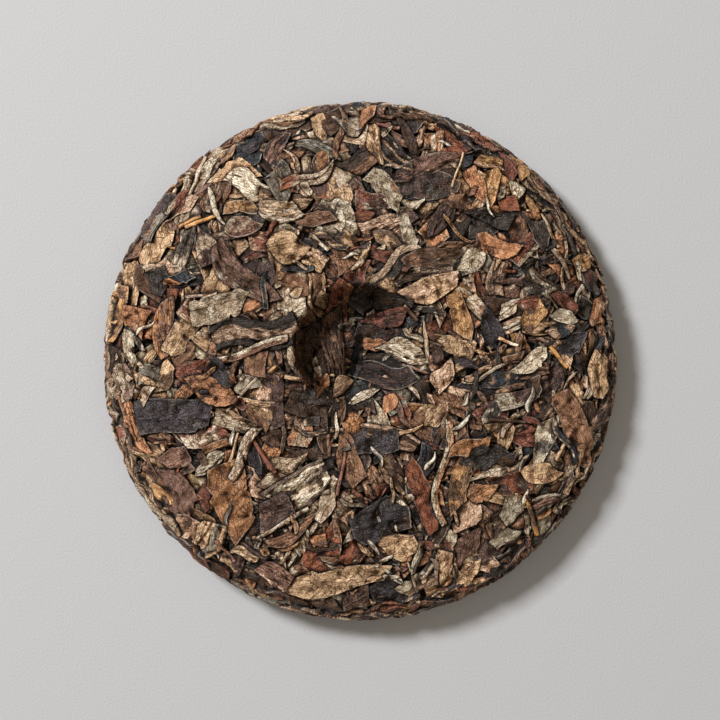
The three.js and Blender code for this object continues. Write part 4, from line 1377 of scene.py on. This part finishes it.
class TEA_OT_stalks(Operator):
    """Makes the stalks"""

    bl_idname = "tea.stalks"
    bl_label = "Stalks"

    def execute(self, context):
        material = dried_leaf_material("dry_tea_stalk", 0.5, 0.2)
        add_leaves(context, "stalks", ("stalk",), (FACE, UNDER), material)
        return {"FINISHED"}


class TEA_OT_buds(Operator):
    """Makes the downy buds"""

    bl_idname = "tea.buds"
    bl_label = "Silver buds"

    def execute(self, context):
        material = dried_leaf_material("downy_tea_bud", 0.8, 0.3, downy=1.0)
        add_leaves(context, "silver_buds", ("bud",), (FACE, UNDER), material)
        return {"FINISHED"}


class TEA_OT_chips(Operator):
    """Makes the small broken bits of leaf"""

    bl_idname = "tea.chips"
    bl_label = "Broken leaf"

    def execute(self, context):
        material = dried_leaf_material("broken_dried_leaf", 0.62, 0.7)
        add_leaves(context, "broken_leaf", ("chip", "crumb"), (FACE, UNDER), material)
        return {"FINISHED"}


class TEA_OT_underside(Operator):
    """Makes the larger leaves of the underside"""

    bl_idname = "tea.underside"
    bl_label = "Underside leaves"

    def execute(self, context):
        material = dried_leaf_material("flat_pressed_leaf", 0.62, 0.8, veins=0.8)
        add_leaves(context, "underside_leaves", ("plate", "fold", "strip"), (UNDER,), material)
        return {"FINISHED"}


BOARD_HALF = 6.0  # m
# Each light's name, place in metres, size in metres, power in watts and colour: the window at the
# upper left, and what the room sends back
LIGHTS = (
    ("key", (-1.5, 1.24, 1.77), 0.6, 81.0, (1.0, 1.0, 1.0)),
    ("fill", (0.3, -0.2, 1.4), 1.8, 3.6, (1.0, 0.92, 0.8)),
)
ROOM_COLOUR = (1.0, 0.87, 0.71, 1)
ROOM_STRENGTH = 0.2
CAMERA_Y = 0.0004  # m, which puts the cake where the picture has it


class TEA_OT_stage(Operator):
    """Makes the floor, the lights and the camera that looks straight down"""

    bl_idname = "tea.stage"
    bl_label = "Stage"

    def execute(self, context):
        look = context.scene.tea_stage
        half = BOARD_HALF
        corners = np.array([(-half, -half, 0), (half, -half, 0), (half, half, 0), (-half, half, 0)])
        mesh = closed_mesh("board", corners, np.array([[0, 1, 2, 3]]), np.empty((0, 3), int))
        mesh.materials.append(floor_material(tuple(look.floor_colour)))
        board = bpy.data.objects.new("board", mesh)
        context.scene.collection.objects.link(board)
        for light in LIGHTS:
            self.add_light(context, *light)
        world = bpy.data.worlds.new("soft_room")
        world.use_nodes = True
        room = world.node_tree.nodes["Background"].inputs
        room["Color"].default_value = ROOM_COLOUR
        room["Strength"].default_value = ROOM_STRENGTH
        context.scene.world = world
        context.scene.view_settings.view_transform = "Standard"
        camera = bpy.data.cameras.new("camera")
        camera.lens = 85
        camera.sensor_width = 36
        holder = bpy.data.objects.new("camera", camera)
        holder.location = (0, CAMERA_Y, look.camera_height)
        context.scene.collection.objects.link(holder)
        context.scene.camera = holder
        return {"FINISHED"}

    def add_light(self, context, name, place, size, power, colour):
        """A square area light aimed at the middle of the cake."""
        light = bpy.data.lights.new(name, "AREA")
        light.size = size
        light.energy = power
        light.color = colour
        holder = bpy.data.objects.new(name, light)
        holder.location = place
        x, y, z = place
        holder.rotation_euler = (math.atan2(math.hypot(x, y), z), 0, math.atan2(y, x) + math.pi / 2)
        context.scene.collection.objects.link(holder)


OPERATORS = (
    TEA_OT_core,
    TEA_OT_plates,
    TEA_OT_folds,
    TEA_OT_strips,
    TEA_OT_stalks,
    TEA_OT_buds,
    TEA_OT_chips,
    TEA_OT_underside,
    TEA_OT_stage,
)


class TEA_PT_panel(Panel):
    """Lists the steps that make the cake"""

    bl_label = "Tea cake"
    bl_idname = "TEA_PT_panel"
    bl_space_type = "VIEW_3D"
    bl_region_type = "UI"
    bl_category = "Tea cake"

    def draw(self, context):
        for group in (context.scene.tea_sizes, context.scene.tea_colours, context.scene.tea_stage):
            for key in group.__annotations__:
                self.layout.prop(group, key)
        for operator in OPERATORS:
            self.layout.operator(operator.bl_idname)


GROUPS = {"tea_sizes": TeaCakeSizes, "tea_colours": TeaCakeColours, "tea_stage": TeaStageLook}


def register():
    for kind in (*GROUPS.values(), *OPERATORS, TEA_PT_panel):
        bpy.utils.register_class(kind)
    for name, kind in GROUPS.items():
        setattr(bpy.types.Scene, name, PointerProperty(type=kind))


def unregister():
    for name in GROUPS:
        delattr(bpy.types.Scene, name)
    for kind in reversed((*GROUPS.values(), *OPERATORS, TEA_PT_panel)):
        bpy.utils.unregister_class(kind)


def main():
    register()
    bpy.ops.tea.core()
    bpy.ops.tea.plates()
    bpy.ops.tea.folds()
    bpy.ops.tea.strips()
    bpy.ops.tea.stalks()
    bpy.ops.tea.buds()
    bpy.ops.tea.chips()
    bpy.ops.tea.underside()
    bpy.ops.tea.stage()


if __name__ == "__main__":
    main()
